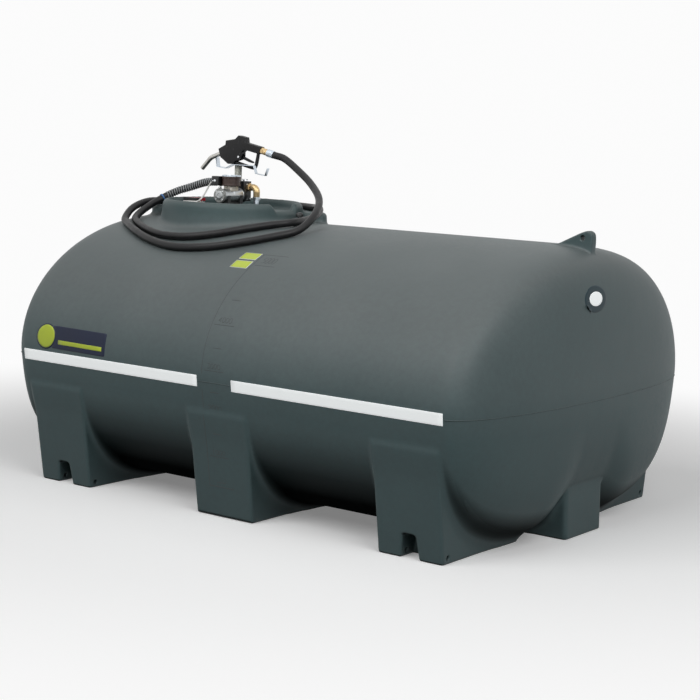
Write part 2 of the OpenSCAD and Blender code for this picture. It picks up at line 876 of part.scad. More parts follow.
meter_body();
meter_bezel();
switch_box();
hose_outlet();
nozzle_post();
nozzle_holder();
nozzle_body();
nozzle_spout();
nozzle_lever();
hose_swivel();
hose_ferrule();
delivery_hose();
battery_lead();
lead_coil();
clamp_red();
clamp_black();
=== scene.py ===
"""Looks of the diesel storage tank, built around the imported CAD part. Metres, +Z up, front -Y."""
from math import cos, dist, hypot, pi, radians, sin, sqrt

import bmesh
import bpy
import numpy as np
from mathutils import Matrix, Vector


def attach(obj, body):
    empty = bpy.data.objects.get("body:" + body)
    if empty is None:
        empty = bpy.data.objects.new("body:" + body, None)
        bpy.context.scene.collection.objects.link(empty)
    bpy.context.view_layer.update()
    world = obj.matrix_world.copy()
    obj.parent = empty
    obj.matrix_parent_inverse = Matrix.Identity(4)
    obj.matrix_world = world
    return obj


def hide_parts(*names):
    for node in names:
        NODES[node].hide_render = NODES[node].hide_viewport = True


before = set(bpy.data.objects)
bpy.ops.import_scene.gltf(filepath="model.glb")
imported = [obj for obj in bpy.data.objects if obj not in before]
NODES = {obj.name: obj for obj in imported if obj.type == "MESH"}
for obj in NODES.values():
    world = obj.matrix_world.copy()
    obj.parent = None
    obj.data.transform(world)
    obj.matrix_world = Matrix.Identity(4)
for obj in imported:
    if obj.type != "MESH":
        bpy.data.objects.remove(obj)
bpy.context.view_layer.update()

# ---------------- sizes, as in the CAD part
HALF_LENGTH, HALF_WIDTH = 1.320, 0.940
EQUATOR, CROWN_RISE, BELLY_DROP, NARROWING = 0.606, 0.598, 0.598, 0.075 / 0.940
CROWN_POWER, BELLY_POWER = 2.05, 3.2
# The width runs out over the corner's depth, the rise and the drop over the end's, by these powers.
CORNER_DEPTH, END_CURVE = 0.190, 0.470
CORNER_POWER, RISE_POWER, DROP_POWER = 2.22, 6.0, 3.7
# The drop's power is lower by this much above an end leg, from the first |y| to the second.
POWER_CUT, CUT_START, CUT_END = 1.25, 0.36, 0.13
CROWN = EQUATOR + CROWN_RISE
WELL_X = -0.718
RIM, SHELF, LID_TOP = CROWN + 0.085, CROWN + 0.037, CROWN + 0.017
COLLAR_RADIUS, COLLAR_FLARE, COLLAR_TOP, COLLAR_FOOT = 0.333, 0.018, RIM - 0.018, CROWN - 0.090
SHELF_RADIUS = 0.450
PUMP_X = WELL_X - 0.010
MOTOR_Z = LID_TOP + 0.089
BLOCK_TOP = MOTOR_Z + 0.044
POST_X, NOZZLE_Y = PUMP_X - 0.059, 0.114
NOZZLE_Z = LID_TOP + 0.230 + 0.0033
HOSE_RADIUS, LEAD_RADIUS = 0.017, 0.004
UP, RIGHT, FRONT = (0, 0, 1), (1, 0, 0), (0, -1, 0)

# ---------------- camera
IMAGE, SENSOR = 700, 36
FOCAL, CENTRE_X, CENTRE_Y = 1677.08, 343.194, 346.062  # in pixels
CAMERA_PLACE, CAMERA_TURN = (4.49974, -6.13896, 1.68628), (36.4413, 7.6821, 2.0481)


def new_object(name, data):
    obj = bpy.data.objects.new(name, data)
    bpy.context.collection.objects.link(obj)
    return obj


def make_camera():
    yaw, pitch, roll = (radians(a) for a in CAMERA_TURN)
    data = bpy.data.cameras.new("camera")
    data.sensor_width = SENSOR
    data.lens = FOCAL / IMAGE * SENSOR
    data.shift_x, data.shift_y = (IMAGE / 2 - CENTRE_X) / IMAGE, (CENTRE_Y - IMAGE / 2) / IMAGE
    data.clip_end = 200
    cam = new_object("camera", data)
    cam.matrix_world = (Matrix.Translation(CAMERA_PLACE) @ Matrix.Rotation(yaw, 4, "Z")
                        @ Matrix.Rotation(pi / 2 - pitch, 4, "X") @ Matrix.Rotation(roll, 4, "Z"))
    bpy.context.scene.camera = cam


make_camera()


# ---------------- mesh helpers
def add_piece(name, mesh, mat, body="root", slot=None, nodes=()):
    """Puts a mesh in the scene, on a body, with the CAD nodes that it stands for; its slot is not used."""
    mesh.materials.append(mat)
    obj = new_object(name, mesh)
    if body:
        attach(obj, body)
    if nodes:
        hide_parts(*nodes)
    return obj


def add_mesh(name, verts, faces, mat, **piece):
    mesh = bpy.data.meshes.new(name)
    mesh.from_pydata([tuple(map(float, v)) for v in verts], [], [tuple(map(int, f)) for f in faces])
    mesh.update()
    mesh.shade_smooth()
    return add_piece(name, mesh, mat, **piece)


def ring_faces(rings, count, closed=True, flip=False):
    """Quads between rings of points."""
    faces = []
    for r in range(rings - 1):
        for i in range(count if closed else count - 1):
            j = (i + 1) % count
            f = (r * count + i, r * count + j, (r + 1) * count + j, (r + 1) * count + i)
            faces.append(f[::-1] if flip else f)
    return faces


def capped_rings(rings, count, first=0):
    """The same with both ends closed, for rings whose points start at the given one."""
    last = first + (rings - 1) * count
    faces = [tuple(first + i for i in f) for f in ring_faces(rings, count)]
    return faces + [tuple(range(first, first + count))[::-1], tuple(range(last, last + count))]


def smooth_path(points, parts):
    """Catmull-Rom points through the given ones."""
    p = [np.array(q, float) for q in points]
    out = []
    for i in range(len(p) - 1):
        a, b, c, d = p[max(0, i - 1)], p[i], p[i + 1], p[min(len(p) - 1, i + 2)]
        for k in range(parts):
            t = k / parts
            out.append(0.5 * (2 * b + (c - a) * t + (2 * a - 5 * b + 4 * c - d) * t**2
                              + (3 * b - a - 3 * c + d) * t**3))
    out.append(p[-1])
    return np.array(out)


def frames_along(path):
    """A side and an up vector at each point, turning as little as possible."""
    tangents = np.gradient(path, axis=0)
    tangents /= np.linalg.norm(tangents, axis=1)[:, None]
    side = np.cross(tangents[0], (0, 0, 1.0))
    if np.linalg.norm(side) < 0.1:
        side = np.cross(tangents[0], (1.0, 0, 0))
    sides = []
    for t in tangents:
        side = side - t * side.dot(t)
        side /= np.linalg.norm(side)
        sides.append(side)
    sides = np.array(sides)
    return sides, np.cross(sides, tangents)


def tube(name, path, radius, sides, mat, **piece):
    side, up = frames_along(path)
    angles = np.linspace(0, 2 * pi, sides, endpoint=False)
    verts = path[:, None] + radius * (np.cos(angles)[None, :, None] * side[:, None]
                                      + np.sin(angles)[None, :, None] * up[:, None])
    return add_mesh(name, verts.reshape(-1, 3), capped_rings(len(path), sides), mat, **piece)


# ---------------- materials
class Graph:
    """Short calls for the nodes of a material or the world."""

    def __init__(self, owner):
        owner.use_nodes = True
        self.owner, self.tree = owner, owner.node_tree
        self.shader = self.tree.nodes.get("Principled BSDF")

    def put(self, socket, value):
        """Links another node's output to an input, or sets the input's own value."""
        if hasattr(value, "is_linked"):
            self.tree.links.new(value, socket)
        elif hasattr(value, "__len__"):
            socket.default_value = (*value, 1)[:len(socket.default_value)]
        else:
            socket.default_value = value

    def node(self, kind, inputs={}, **props):
        n = self.tree.nodes.new("ShaderNode" + kind)
        for key, value in props.items():
            setattr(n, key, value)
        for key, value in inputs.items():
            self.put(n.inputs[key], value)
        return n

    def set(self, **sockets):
        """Links or values for the shader's sockets."""
        for key, value in sockets.items():
            self.put(self.shader.inputs[key.replace("_", " ")], value)

    def show(self, surface):
        self.put(self.tree.nodes["Material Output"].inputs["Surface"], surface)

    def coords(self):
        return self.node("TexCoord").outputs["Object"]

    def split(self, vector):
        return self.node("SeparateXYZ", {0: vector}).outputs

    def math(self, op, *values):
        return self.node("Math", dict(enumerate(values)), operation=op).outputs[0]

    def noise(self, scale, detail=3.0, rough=0.5, stretch=None):
        place = self.coords()
        if stretch:
            place = self.node("Mapping", {"Vector": place, "Scale": stretch}).outputs[0]
        inputs = {"Vector": place, "Scale": scale, "Detail": detail, "Roughness": rough}
        return self.node("TexNoise", inputs).outputs["Fac"]

    def ramp(self, fac, stops, interpolation="LINEAR"):
        """A colour, or a grey for a single number, that runs through the stops."""
        n = self.node("ValToRGB", {"Fac": fac})
        n.color_ramp.interpolation = interpolation
        e = n.color_ramp.elements
        while len(e) < len(stops):
            e.new(0.5)
        for item, (at, col) in zip(e, stops):
            item.position = at
            item.color = (*col, 1) if hasattr(col, "__len__") else (col, col, col, 1)
        return n.outputs["Color"]

    def multiply(self, a, b):
        inputs = {0: 1.0, 6: a, 7: b}
        return self.node("Mix", inputs, data_type="RGBA", blend_type="MULTIPLY").outputs[2]

    def mix_shaders(self, fac, a, b):
        return self.node("MixShader", {0: fac, 1: a, 2: b}).outputs[0]

    def plain(self, kind, color, **inputs):
        """A simple shader of one colour."""
        return self.node(kind, {"Color": color, **inputs}).outputs[0]

    def bump(self, height, strength, distance, **under):
        inputs = {"Height": height, "Strength": strength, "Distance": distance, **under}
        normal = self.node("Bump", inputs).outputs["Normal"]
        self.set(Normal=normal)
        return normal

    def seen_directly(self):
        """1 for rays from the camera, a reflection or glass, 0 for the light that falls on things."""
        rays = self.node("LightPath").outputs
        seen = self.math("MAXIMUM", rays["Is Camera Ray"], rays["Is Glossy Ray"])
        return self.math("MAXIMUM", seen, rays["Is Transmission Ray"])


def material(name, color, rough, metal=0.0, **sockets):
    g = Graph(bpy.data.materials.new(name))
    g.set(Base_Color=color, Roughness=rough, Metallic=metal, **sockets)
    return g


def make_shell():
    """Rotomoulded polyethylene: a cloudy grey with an orange-peel skin, and painted light and shade: lighter
    and warmer where it faces up, darker and cooler low down and around the well, and a near-black painted
    shade where it faces the ground.
    """
    g = material("moulded_polyethylene", (0.10, 0.112, 0.114), 0.55)
    fine = g.noise(42.0, 4.0, 0.6)
    cloud = g.ramp(g.noise(2.6, 5.0, 0.55), [(0.3, (0.068, 0.103, 0.107)), (0.7, (0.082, 0.121, 0.125))])
    speck = g.ramp(fine, [(0.35, 0.93), (0.65, 1.06)])
    normal = g.split(g.node("NewGeometry").outputs["Normal"])
    facing_up = g.math("MULTIPLY_ADD", normal["Z"], 0.5, 0.5)
    # Painted light: the colour grows lighter and warmer where the skin faces up.
    painted_top_light = g.ramp(facing_up, [(0.50, 1), (0.85, (1.36, 1.09, 1.06))])
    # Painted shade: darker and cooler below about 0.65 m and from about 1.2 m up on the well's collar and
    # shelf, full colour between.
    painted_height_shade = g.ramp(g.math("DIVIDE", g.split(g.coords())["Z"], 1.3),
                  [(0.0, (0.60, 0.71, 0.72)), (0.38, (0.64, 0.75, 0.76)), (0.50, 1), (0.92, 1),
                   (0.955, (0.62, 0.74, 0.74))])
    color = g.multiply(g.multiply(g.multiply(cloud, speck), painted_top_light), painted_height_shade)
    g.set(Base_Color=color, Roughness=g.ramp(fine, [(0.3, 0.50), (0.7, 0.60)]))
    # Painted shade: where the skin faces the ground, a little less where it faces an end, the shell gives way
    # to a near-black diffuse.
    clear = g.math("MULTIPLY_ADD", g.math("ABSOLUTE", normal["X"]), 0.12, facing_up)
    clear = g.ramp(clear, [(0.10, 0.02), (0.225, 0.25), (0.32, 0.60), (0.40, 1.0)])
    painted_underside_shade = g.plain("BsdfDiffuse", (0.004, 0.005, 0.005))
    g.show(g.mix_shaders(clear, painted_underside_shade, g.shader.outputs[0]))
    peel = g.bump(g.noise(160.0, 3.0, 0.6), 0.35, 0.0012)
    g.bump(g.noise(9.0, 2.0, 0.5), 0.25, 0.004, Normal=peel)
    return g.owner


def make_hose():
    g = material("hose_rubber", (0.011, 0.011, 0.012), 0.42, Specular_IOR_Level=0.3)
    n = g.noise(26.0, 4.0, 0.6)
    g.set(Base_Color=g.ramp(n, [(0.3, (0.008, 0.008, 0.009)), (0.72, (0.016, 0.016, 0.017))]),
          Roughness=g.ramp(n, [(0.3, 0.34), (0.7, 0.52)]))
    g.bump(g.noise(700.0, 2.0), 0.5, 0.0004)
    return g.owner


M = {"shell": make_shell(), "hose": make_hose()}


def finish(name, color, rough, metal=0.0, spread=0.08, scale=30.0, bump=0.0, grain=900.0, stretch=None,
           **sockets):
    """Colour that wanders a little, roughness that wanders with it, and a fine grain."""
    g = material(name, color, sum(rough) / 2, metal, **sockets)
    n = g.noise(scale, 4.0, 0.6, stretch)
    low, high = (tuple(min(1, c * (1 + s)) for c in color) for s in (-spread, spread))
    g.set(Base_Color=g.ramp(n, [(0.3, low), (0.7, high)]),
          Roughness=g.ramp(n, [(0.3, rough[0]), (0.7, rough[1])]))
    if bump:
        g.bump(g.noise(grain, 2.0), 1.0, bump)
    M[name] = g.owner


finish("lid_plastic", (0.022, 0.024, 0.025), (0.4, 0.55), bump=0.0004, grain=500)
# The tape glows a little: painted light for its bright reflective face.
finish("tape", (0.86, 0.89, 0.89), (0.35, 0.5), spread=0.03, scale=12, bump=0.0001, grain=400,
       Emission_Color=(0.9, 0.93, 0.93), Emission_Strength=0.45)
finish("zinc", (0.60, 0.66, 0.72), (0.22, 0.38), 1.0, 0.12, 45)
finish("motor_grey", (0.52, 0.54, 0.55), (0.25, 0.35), 0.85, 0.08, 60, stretch=(1, 0.1, 1))
finish("motor_cap_grey", (0.36, 0.37, 0.36), (0.45, 0.6), 0.3, 0.10, 60, bump=0.0003)
finish("cast_black", (0.012, 0.013, 0.014), (0.32, 0.5), 0, 0.2, 40, bump=0.0005, grain=300)
finish("brass", (0.66, 0.49, 0.26), (0.34, 0.5), 0.8, 0.15, 60)
finish("alloy", (0.74, 0.70, 0.61), (0.4, 0.55), 0.25, 0.10, 50, bump=0.0004, grain=500)
finish("meter_brown", (0.050, 0.028, 0.022), (0.35, 0.5), 0, 0.2, 40, bump=0.0003)
finish("post_grey", (0.60, 0.61, 0.54), (0.5, 0.65), 0, 0.06, 30, bump=0.0002)
finish("nozzle_black", (0.009, 0.009, 0.010), (0.34, 0.5), 0, 0.25, 50, bump=0.0003, grain=600,
       Specular_IOR_Level=0.3)
finish("guard_grey", (0.34, 0.36, 0.37), (0.4, 0.55), 0, 0.1, 60)
finish("bright", (0.75, 0.77, 0.79), (0.16, 0.26), 1.0, 0.06, 60)
finish("spout_alloy", (0.50, 0.49, 0.46), (0.3, 0.42), 1.0, 0.10, 50, stretch=(0.3, 1, 1))
finish("lead_white", (0.82, 0.82, 0.79), (0.4, 0.55), 0, 0.05, 40)
finish("clamp_red", (0.50, 0.025, 0.04), (0.25, 0.4), 0, 0.10, 40)
finish("clamp_black", (0.02, 0.02, 0.02), (0.3, 0.45), 0, 0.2, 40)
finish("tie_blue", (0.05, 0.17, 0.42), (0.35, 0.5), 0, 0.06, 40)
finish("navy", (0.009, 0.015, 0.040), (0.4, 0.5), 0, 0.06, 10, bump=0.00005, Specular_IOR_Level=0.3)
finish("badge_teal", (0.012, 0.034, 0.044), (0.4, 0.5), 0, 0.06, 10, Specular_IOR_Level=0.3)
finish("lime", (0.56, 0.68, 0.050), (0.3, 0.4), 0, 0.04, 10)
finish("scale_mark", (0.050, 0.056, 0.058), (0.5, 0.6), 0, 0.06, 40)
finish("label_white", (0.75, 0.77, 0.74), (0.35, 0.5), 0, 0.04, 10)

for node_name, finish_name in (("manway_neck", "shell"), ("clamp_red", "clamp_red"),
                               ("clamp_black", "clamp_black")):
    NODES[node_name].data.materials.clear()
    NODES[node_name].data.materials.append(M[finish_name])


# ---------------- cords
def left_after(x, depth, power):
    """What is left of the full width, rise or drop at a place along the tank."""
    u = np.clip((np.abs(x) - HALF_LENGTH) / depth + 1, 0, 1)
    return (1 - u**power) ** (1 / power)


def width_left(x):
    return left_after(x, CORNER_DEPTH, CORNER_POWER)


def top_height(x, y):
    a = np.abs(y) / (HALF_WIDTH * np.maximum(width_left(x), 0.01))
    rise = CROWN_RISE * left_after(x, END_CURVE, RISE_POWER)
    return EQUATOR + rise * np.maximum(0, 1 - a**CROWN_POWER) ** (1 / CROWN_POWER)


def on_tank(dx, y, lift):
    """A point of the hose's middle line, lying on the tank or lifted off it, from millimetres."""
    dx, y, lift = dx / 1000, y / 1000, lift / 1000
    x, e = WELL_X + dx, 0.001
    slope = sqrt(1 + ((top_height(x + e, y) - top_height(x, y)) / e) ** 2
                 + ((top_height(x, y + e) - top_height(x, y)) / e) ** 2)
    return (x, y, float(top_height(x, y) + HOSE_RADIUS * slope + lift))


def collar_reach(height):
    return COLLAR_RADIUS + COLLAR_FLARE * (COLLAR_TOP - height) / (COLLAR_TOP - COLLAR_FOOT)


def on_shelf(angle, out, lift):
    r = (collar_reach(SHELF) + SHELF_RADIUS) / 2 + out / 1000
    a = radians(angle)
    return (WELL_X + r * cos(a), r * sin(a), SHELF + HOSE_RADIUS + lift / 1000)


HANDLE_TILT = radians(13)


def handle_axis(start):
    return (POST_X + 0.143 + start * cos(HANDLE_TILT), NOZZLE_Y,
            NOZZLE_Z + 0.071 - start * sin(HANDLE_TILT))


OUTLET_END, OUTLET_Y, OUTLET_Z = PUMP_X - 0.084, 0.008, BLOCK_TOP + 0.015
HOSE_ROUTE = [
    (OUTLET_END, OUTLET_Y, OUTLET_Z), (OUTLET_END - 0.012, OUTLET_Y, OUTLET_Z),
    (OUTLET_END - 0.085, OUTLET_Y - 0.004, OUTLET_Z - 0.006),
    *(on_tank(*q) for q in (
        (-257, -14, 116), (-321, -55, 91), (-364, -130, 54), (-366, -230, 21), (-339, -312, 1.4),
        (-270, -375, 1.4), (-151, -444, 1.4), (-10, -492, 1.3), (139, -492, 1.4), (267, -439, 1.4),
        (358, -351, 1.4), (430, -254, 1.4), (495, -168, 3.2), (455, 20, 5.2), (413, 140, 39))),
    *(on_shelf(*q) for q in (
        (38.6, 17, 6), (55.7, 10, 0.6), (73.8, -1, 0.6), (92.9, -14, 0.6), (114.5, -29, 0.6),
        (137.3, -30, 0.6), (159.9, -19, 0.6), (180.7, 4, 1), (198.3, 43, 4))),
    *(on_tank(*q) for q in (
        (-414, -250, 36), (-375, -346, 5), (-300, -405, 1.3), (-169, -485, 1.3), (-17, -550, 1.3),
        (151, -585, 1.4), (322, -566, 1.3), (467, -505, 1.5), (580, -415, 1.5), (647, -313, 6),
        (645, -195, 52), (559, -55, 103), (427, 50, 166), (303, 98, 230))),
    handle_axis(0.146), handle_axis(0.090), handle_axis(0.078),
]
COIL_X, COIL_Y = WELL_X - 0.184, -0.075
COIL_TOP, COIL_LOW, COIL_OUTER, COIL_INNER = LID_TOP + 0.052, LID_TOP + 0.0042, 0.048, 0.040
COIL_TURNS, TURN_STEPS, COIL_START = 6.5, 24, -0.55
BOX_LEFT, METER_Y = PUMP_X - 0.081, -0.005
LEAD_ROUTE = [
    *((BOX_LEFT - out, METER_Y - y, BLOCK_TOP + z) for out, y, z in (
        (0, 0.031, 0.017), (0.006, 0.031, 0.017), (0.013, 0.034, 0.014), (0.021, 0.039, 0.003))),
    (BOX_LEFT - 0.028, COIL_Y + 0.021, BLOCK_TOP - 0.021),
    (COIL_X + 0.060, COIL_Y + 0.002, BLOCK_TOP - 0.051), (COIL_X + 0.056, COIL_Y - 0.018, LID_TOP + 0.062),
]


def coil_points():
    """Down the outer turns and up the inner ones, a lead's width apart."""
    points = []
    total = int(COIL_TURNS * TURN_STEPS)
    for r, first, start, stop in ((COIL_OUTER, 0, COIL_TOP, COIL_LOW),
                                  (COIL_INNER, total + TURN_STEPS / 6, COIL_LOW, COIL_TOP)):
        for k in range(total + 1):
            a = COIL_START - 2 * pi * (first + k) / TURN_STEPS
            z = start + (stop - start) * k / total
            points.append((COIL_X + r * cos(a), COIL_Y + r * sin(a), z))
    return points


def run_of(points):
    """Each point's distance along a path."""
    return np.concatenate([[0], np.cumsum(np.linalg.norm(np.diff(points, axis=0), axis=1))])


def at_run(at, run, points):
    """Points between the given ones, at some distances along their path."""
    return np.stack([np.interp(at, run, column) for column in np.transpose(points)], 1)


def each_millimetre(path):
    """Places, sides and ups at each millimetre of a path."""
    run = run_of(path)
    return [at_run(np.arange(0, run[-1], 0.001), run, v) for v in (path, *frames_along(path))]


GUARD_START, GUARD_END, GUARD_PITCH, GUARD_STEP = 0.018, 0.300, 0.0125, 0.0008
TIE_START, TIE_END, TIE_SIDES = 318, 326, 32  # the first two in mm along the hose


def make_guard(path):
    """A flat spiral wound over the hose's first stretch."""
    here, side, up = each_millimetre(path)
    steps = np.arange(GUARD_START, GUARD_END, GUARD_STEP)
    i = (steps / 0.001).astype(int)
    a = steps / GUARD_PITCH * 2 * pi
    line = here[i] + (HOSE_RADIUS + 0.0006) * (np.cos(a)[:, None] * side[i] + np.sin(a)[:, None] * up[i])
    return tube("hose_guard", line, 0.0026, 6, M["guard_grey"], slot="hose")


def make_tie(path):
    here, side, up = each_millimetre(path)
    inner, outer = HOSE_RADIUS + 0.0002, HOSE_RADIUS + 0.0028
    verts = [here[i] + r * (cos(t) * side[i] + sin(t) * up[i])
             for i, r in ((TIE_START, inner), (TIE_START, outer), (TIE_END, outer), (TIE_END, inner))
             for t in np.linspace(0, 2 * pi, TIE_SIDES, endpoint=False)]
    return add_mesh("hose_tie", verts, ring_faces(4, TIE_SIDES), M["tie_blue"], slot="hose")


def make_hose_piece():
    path = smooth_path(HOSE_ROUTE, 5)
    hose = tube("delivery_hose_skin", path, HOSE_RADIUS, 20, M["hose"], slot="hose", nodes=["delivery_hose"])
    make_guard(path)
    make_tie(path)


def make_lead():
    path = smooth_path(LEAD_ROUTE + coil_points(), 3)
    lead = tube("battery_lead_skin", path, LEAD_RADIUS, 10, M["lead_white"], slot="lead",
                nodes=["battery_lead", "lead_coil"])


make_hose_piece()
make_lead()


# ---------------- the moulded tank's skin
def drop_power(y):
    """The power by which the drop runs out, which makes a softer hollow above an end leg."""
    return DROP_POWER - POWER_CUT * smooth_step(CUT_START, CUT_END, np.abs(y))


def body_field(x, y, z):
    """Roughly the distance outside the tank: a superellipse section that shrinks towards the ends."""
    zc, along = z - EQUATOR, np.abs(x) - HALF_LENGTH
    up = zc > 0
    n = np.where(up, CROWN_POWER, BELLY_POWER)
    q = np.where(up, RISE_POWER, drop_power(y))
    full = np.where(up, CROWN_RISE, BELLY_DROP)
    far_v = np.maximum(along / CORNER_DEPTH + 1, 0)
    far_u = np.maximum(along / END_CURVE + 1, 0)
    v, u = np.minimum(far_v, 1), np.minimum(far_u, 1)
    w = np.maximum((1 - v**CORNER_POWER) ** (1 / CORNER_POWER), 0.03)
    h = np.maximum((1 - u**q) ** (1 / q), 0.03)
    height = full * h
    b = np.abs(zc) / height
    narrow = 1 - NARROWING * np.where(up, 0, np.minimum(b, 1))
    width = HALF_WIDTH * w * narrow
    a = np.abs(y) / width
    k = np.maximum((a**n + b**n) ** (1 / n), 1e-6)
    ka = (a / k) ** (n - 1)
    kb = (b / k) ** (n - 1) + np.where(up, 0, ka * a * NARROWING / narrow)
    kx = (ka * a * (v / w) ** (CORNER_POWER - 1) / (w * CORNER_DEPTH)
          + kb * b * (u / h) ** (q - 1) / (h * END_CURVE))
    slope = np.sqrt((ka / width) ** 2 + (kb / height) ** 2 + kx**2)
    near = (k - 1) / np.maximum(slope, 0.2)
    end = superellipse(np.abs(zc) / full, far_u, q, CROWN_RISE, END_CURVE)
    side = superellipse(np.abs(y) / HALF_WIDTH, far_v, CORNER_POWER, HALF_WIDTH, CORNER_DEPTH)
    return np.maximum(np.maximum(near, end), side)


def superellipse(a, b, power, size_a, size_b):
    """Roughly the distance outside a curve whose axes have the given sizes."""
    r = np.maximum((a**power + b**power) ** (1 / power), 1e-6)
    slope = np.sqrt(((a / r) ** (power - 1) / size_a) ** 2 + ((b / r) ** (power - 1) / size_b) ** 2 + 1e-9)
    return (r - 1) / slope


def smin(a, b, k):
    h = np.maximum(k - np.abs(a - b), 0) / k
    return np.minimum(a, b) - h * h * k / 4


def smax(a, b, k):
    return -smin(-a, -b, k)


def half_plane(u, v, first, second):
    """Distance to the right of the line from first to second, in a plane of axes u and v."""
    du, dv = second[0] - first[0], second[1] - first[1]
    return ((u - first[0]) * dv - (v - first[1]) * du) / hypot(du, dv)


def smooth_step(low, high, x):
    """0 at low and 1 at high, where low may be the larger."""
    t = np.clip((x - low) / (high - low), 0, 1)
    return t * t * (3 - 2 * t)


def rises(field, points, e):
    """How much the field rises along each axis, from e before a point to e after it."""
    x, y, z = points.T
    return np.stack([field(x + e, y, z) - field(x - e, y, z), field(x, y + e, z) - field(x, y - e, z),
                     field(x, y, z + e) - field(x, y, z - e)], 1)


def surface_net(field, low, high, step):
    """A quad mesh of the field's zero surface, its points moved onto the surface."""
    low, high = np.array(low, float), np.array(high, float)
    n = np.ceil((high - low) / step).astype(int) + 1
    f = field(*np.meshgrid(*(low[i] + step * np.arange(n[i]) for i in range(3)), indexing="ij"))
    inside = f < 0
    corners = np.array([(i, j, k) for i in (0, 1) for j in (0, 1) for k in (0, 1)])
    count = sum(inside[tuple(slice(i, i + m) for i, m in zip(c, n - 1))].astype(np.int8) for c in corners)
    active = (count > 0) & (count < 8)
    cells = np.argwhere(active)
    index = -np.ones(active.shape, int)
    index[active] = np.arange(len(cells))
    total, hits = np.zeros((len(cells), 3)), np.zeros(len(cells))
    for c in corners:
        for axis in np.flatnonzero(c == 0):
            fa, fb = (f[tuple((cells + p).T)] for p in (c, c + np.eye(3, dtype=int)[axis]))
            cross = (fa < 0) != (fb < 0)
            place = np.repeat([c.astype(float)], cross.sum(), 0)
            place[:, axis] += fa[cross] / (fa - fb)[cross]
            total[cross] += place
            hits[cross] += 1
    verts = low + step * (cells + total / hits[:, None])
    e = step * 0.02
    for _ in range(4):
        g = rises(field, verts, e) / (2 * e)
        move = -(field(*verts.T) / np.maximum((g**2).sum(1), 1e-4))[:, None] * g
        size = np.linalg.norm(move, axis=1)[:, None]
        verts = verts + move * np.minimum(1, 0.6 * step / np.maximum(size, 1e-9))
    faces = []
    for axis in range(3):
        across = [(axis + 1) % 3, (axis + 2) % 3]
        edges = np.argwhere(np.diff(inside, axis=axis))
        edges = edges[((edges[:, across] > 0) & (edges[:, across] < n[across] - 1)).all(1)]
        quad = []
        for back in ((-1, -1), (0, -1), (0, 0), (-1, 0)):
            cell = edges.copy()
            cell[:, across] += back
            quad.append(index[tuple(cell.T)])
        quad = np.stack(quad, 1)
        outside = ~inside[tuple(edges.T)]
        quad[outside] = quad[outside][:, ::-1]
        faces.append(quad)
    faces = np.concatenate(faces)
    return verts, faces[(faces >= 0).all(1)]


def keep_shown(verts, faces, hidden):
    """Leaves out the faces whose points all lie deep under another surface."""
    deep = hidden(*verts.T) < -0.0012
    faces = faces[~deep[faces].all(1)]
    used = np.unique(faces)
    new = -np.ones(len(verts), int)
    new[used] = np.arange(len(used))
    return verts[used], new[faces]


def skin_mesh(name, verts, faces, nodes, mirror):
    verts = verts * np.array([*mirror, 1.0])
    verts[:, 2] = np.maximum(verts[:, 2], 0)
    if mirror[0] * mirror[1] < 0:
        faces = faces[:, ::-1]
    add_mesh(name, verts, faces, M["shell"], slot="shell", nodes=nodes)


def joined(ground, piece, k):
    """Blends a piece into the ground, which sinks a little away from it, so that the net ends under it."""
    return smin(ground + 0.0015 * smooth_step(0.75 * k, 0.75 * k + 0.05, piece), piece, k)


LEG_DRAFT, LEG_Y, LEG_LEAN, LEG_BEND = 0.006 / EQUATOR, -0.847, 0.150, 0.300
LEDGE = (-0.9225, 0.446), (-0.912, 0.468)


def leg_form(x, y, z, start, length):
    """A leg's block on the +X, -Y side: a face that leans out to a crisp top ledge, and drafted sides."""
    bend = smax(z - LEG_BEND, 0.0 * z, 0.04)
    face = (LEG_Y - LEG_LEAN * z - 0.050 * bend - y) * 0.98
    face = smax(face, -half_plane(y, z, *LEDGE), 0.006)
    sides = smax(start - LEG_DRAFT * z - x, x - (start + length) - LEG_DRAFT * z, 0.012)
    block = smax(smax(face, sides, 0.012), y + 0.300, 0.03)
    return smax(block, -z, 0.008)


def join_leg(body, leg, y):
    """Crisp where the leg leaves the tank's side, softer in the hollow under the belly."""
    return joined(body, leg, 0.012 + 0.060 * smooth_step(-0.95, -0.70, y))


NOTCH_X, NOTCH_HALF, NOTCH_TOP, NOTCH_SLOPE, NOTCH_DEPTH = 0.951, 0.043, 0.100, 0.012 / 0.100, 0.090
BORE_Y, BORE_Z, BORE_RADIUS = -0.812, 0.024, 0.010


def corner_leg_field(x, y, z):
    notch = smax(np.abs(x - NOTCH_X) - (NOTCH_HALF - NOTCH_SLOPE * z), z - NOTCH_TOP, 0.016)
    notch = smax(notch, y - LEG_Y - NOTCH_DEPTH, 0.010)
    leg = smax(leg_form(x, y, z, 0.7975, 0.307), -notch, 0.008)
    leg = smax(leg, BORE_RADIUS - np.hypot(y - BORE_Y, z - BORE_Z), 0.003)
    return join_leg(body_field(x, y, z), leg, y)


def middle_leg_field(x, y, z):
    return join_leg(body_field(x, y, z), leg_form(x, y, z, -0.1545, 0.309), y)


def end_leg_form(x, y, z):
    front = smax(x - 1.252 + 0.03 * z, z - 0.219 + 0.25 * (x - 1.240), 0.012)
    side = np.abs(y) - 0.152 - LEG_DRAFT * z
    return smax(smax(smax(front, side, 0.02), 1.000 - x, 0.03), -z, 0.008)


def end_leg_field(x, y, z):
    return joined(body_field(x, y, z), end_leg_form(x, y, z), 0.012 + 0.05 * smooth_step(0.20, 0.06, z))


LUG = [(1.034, 1.150), (1.042, 1.196), (1.188, 1.268), (1.206, 1.272), (1.225, 1.260), (1.230, 1.232),
       (1.215, 1.080)]


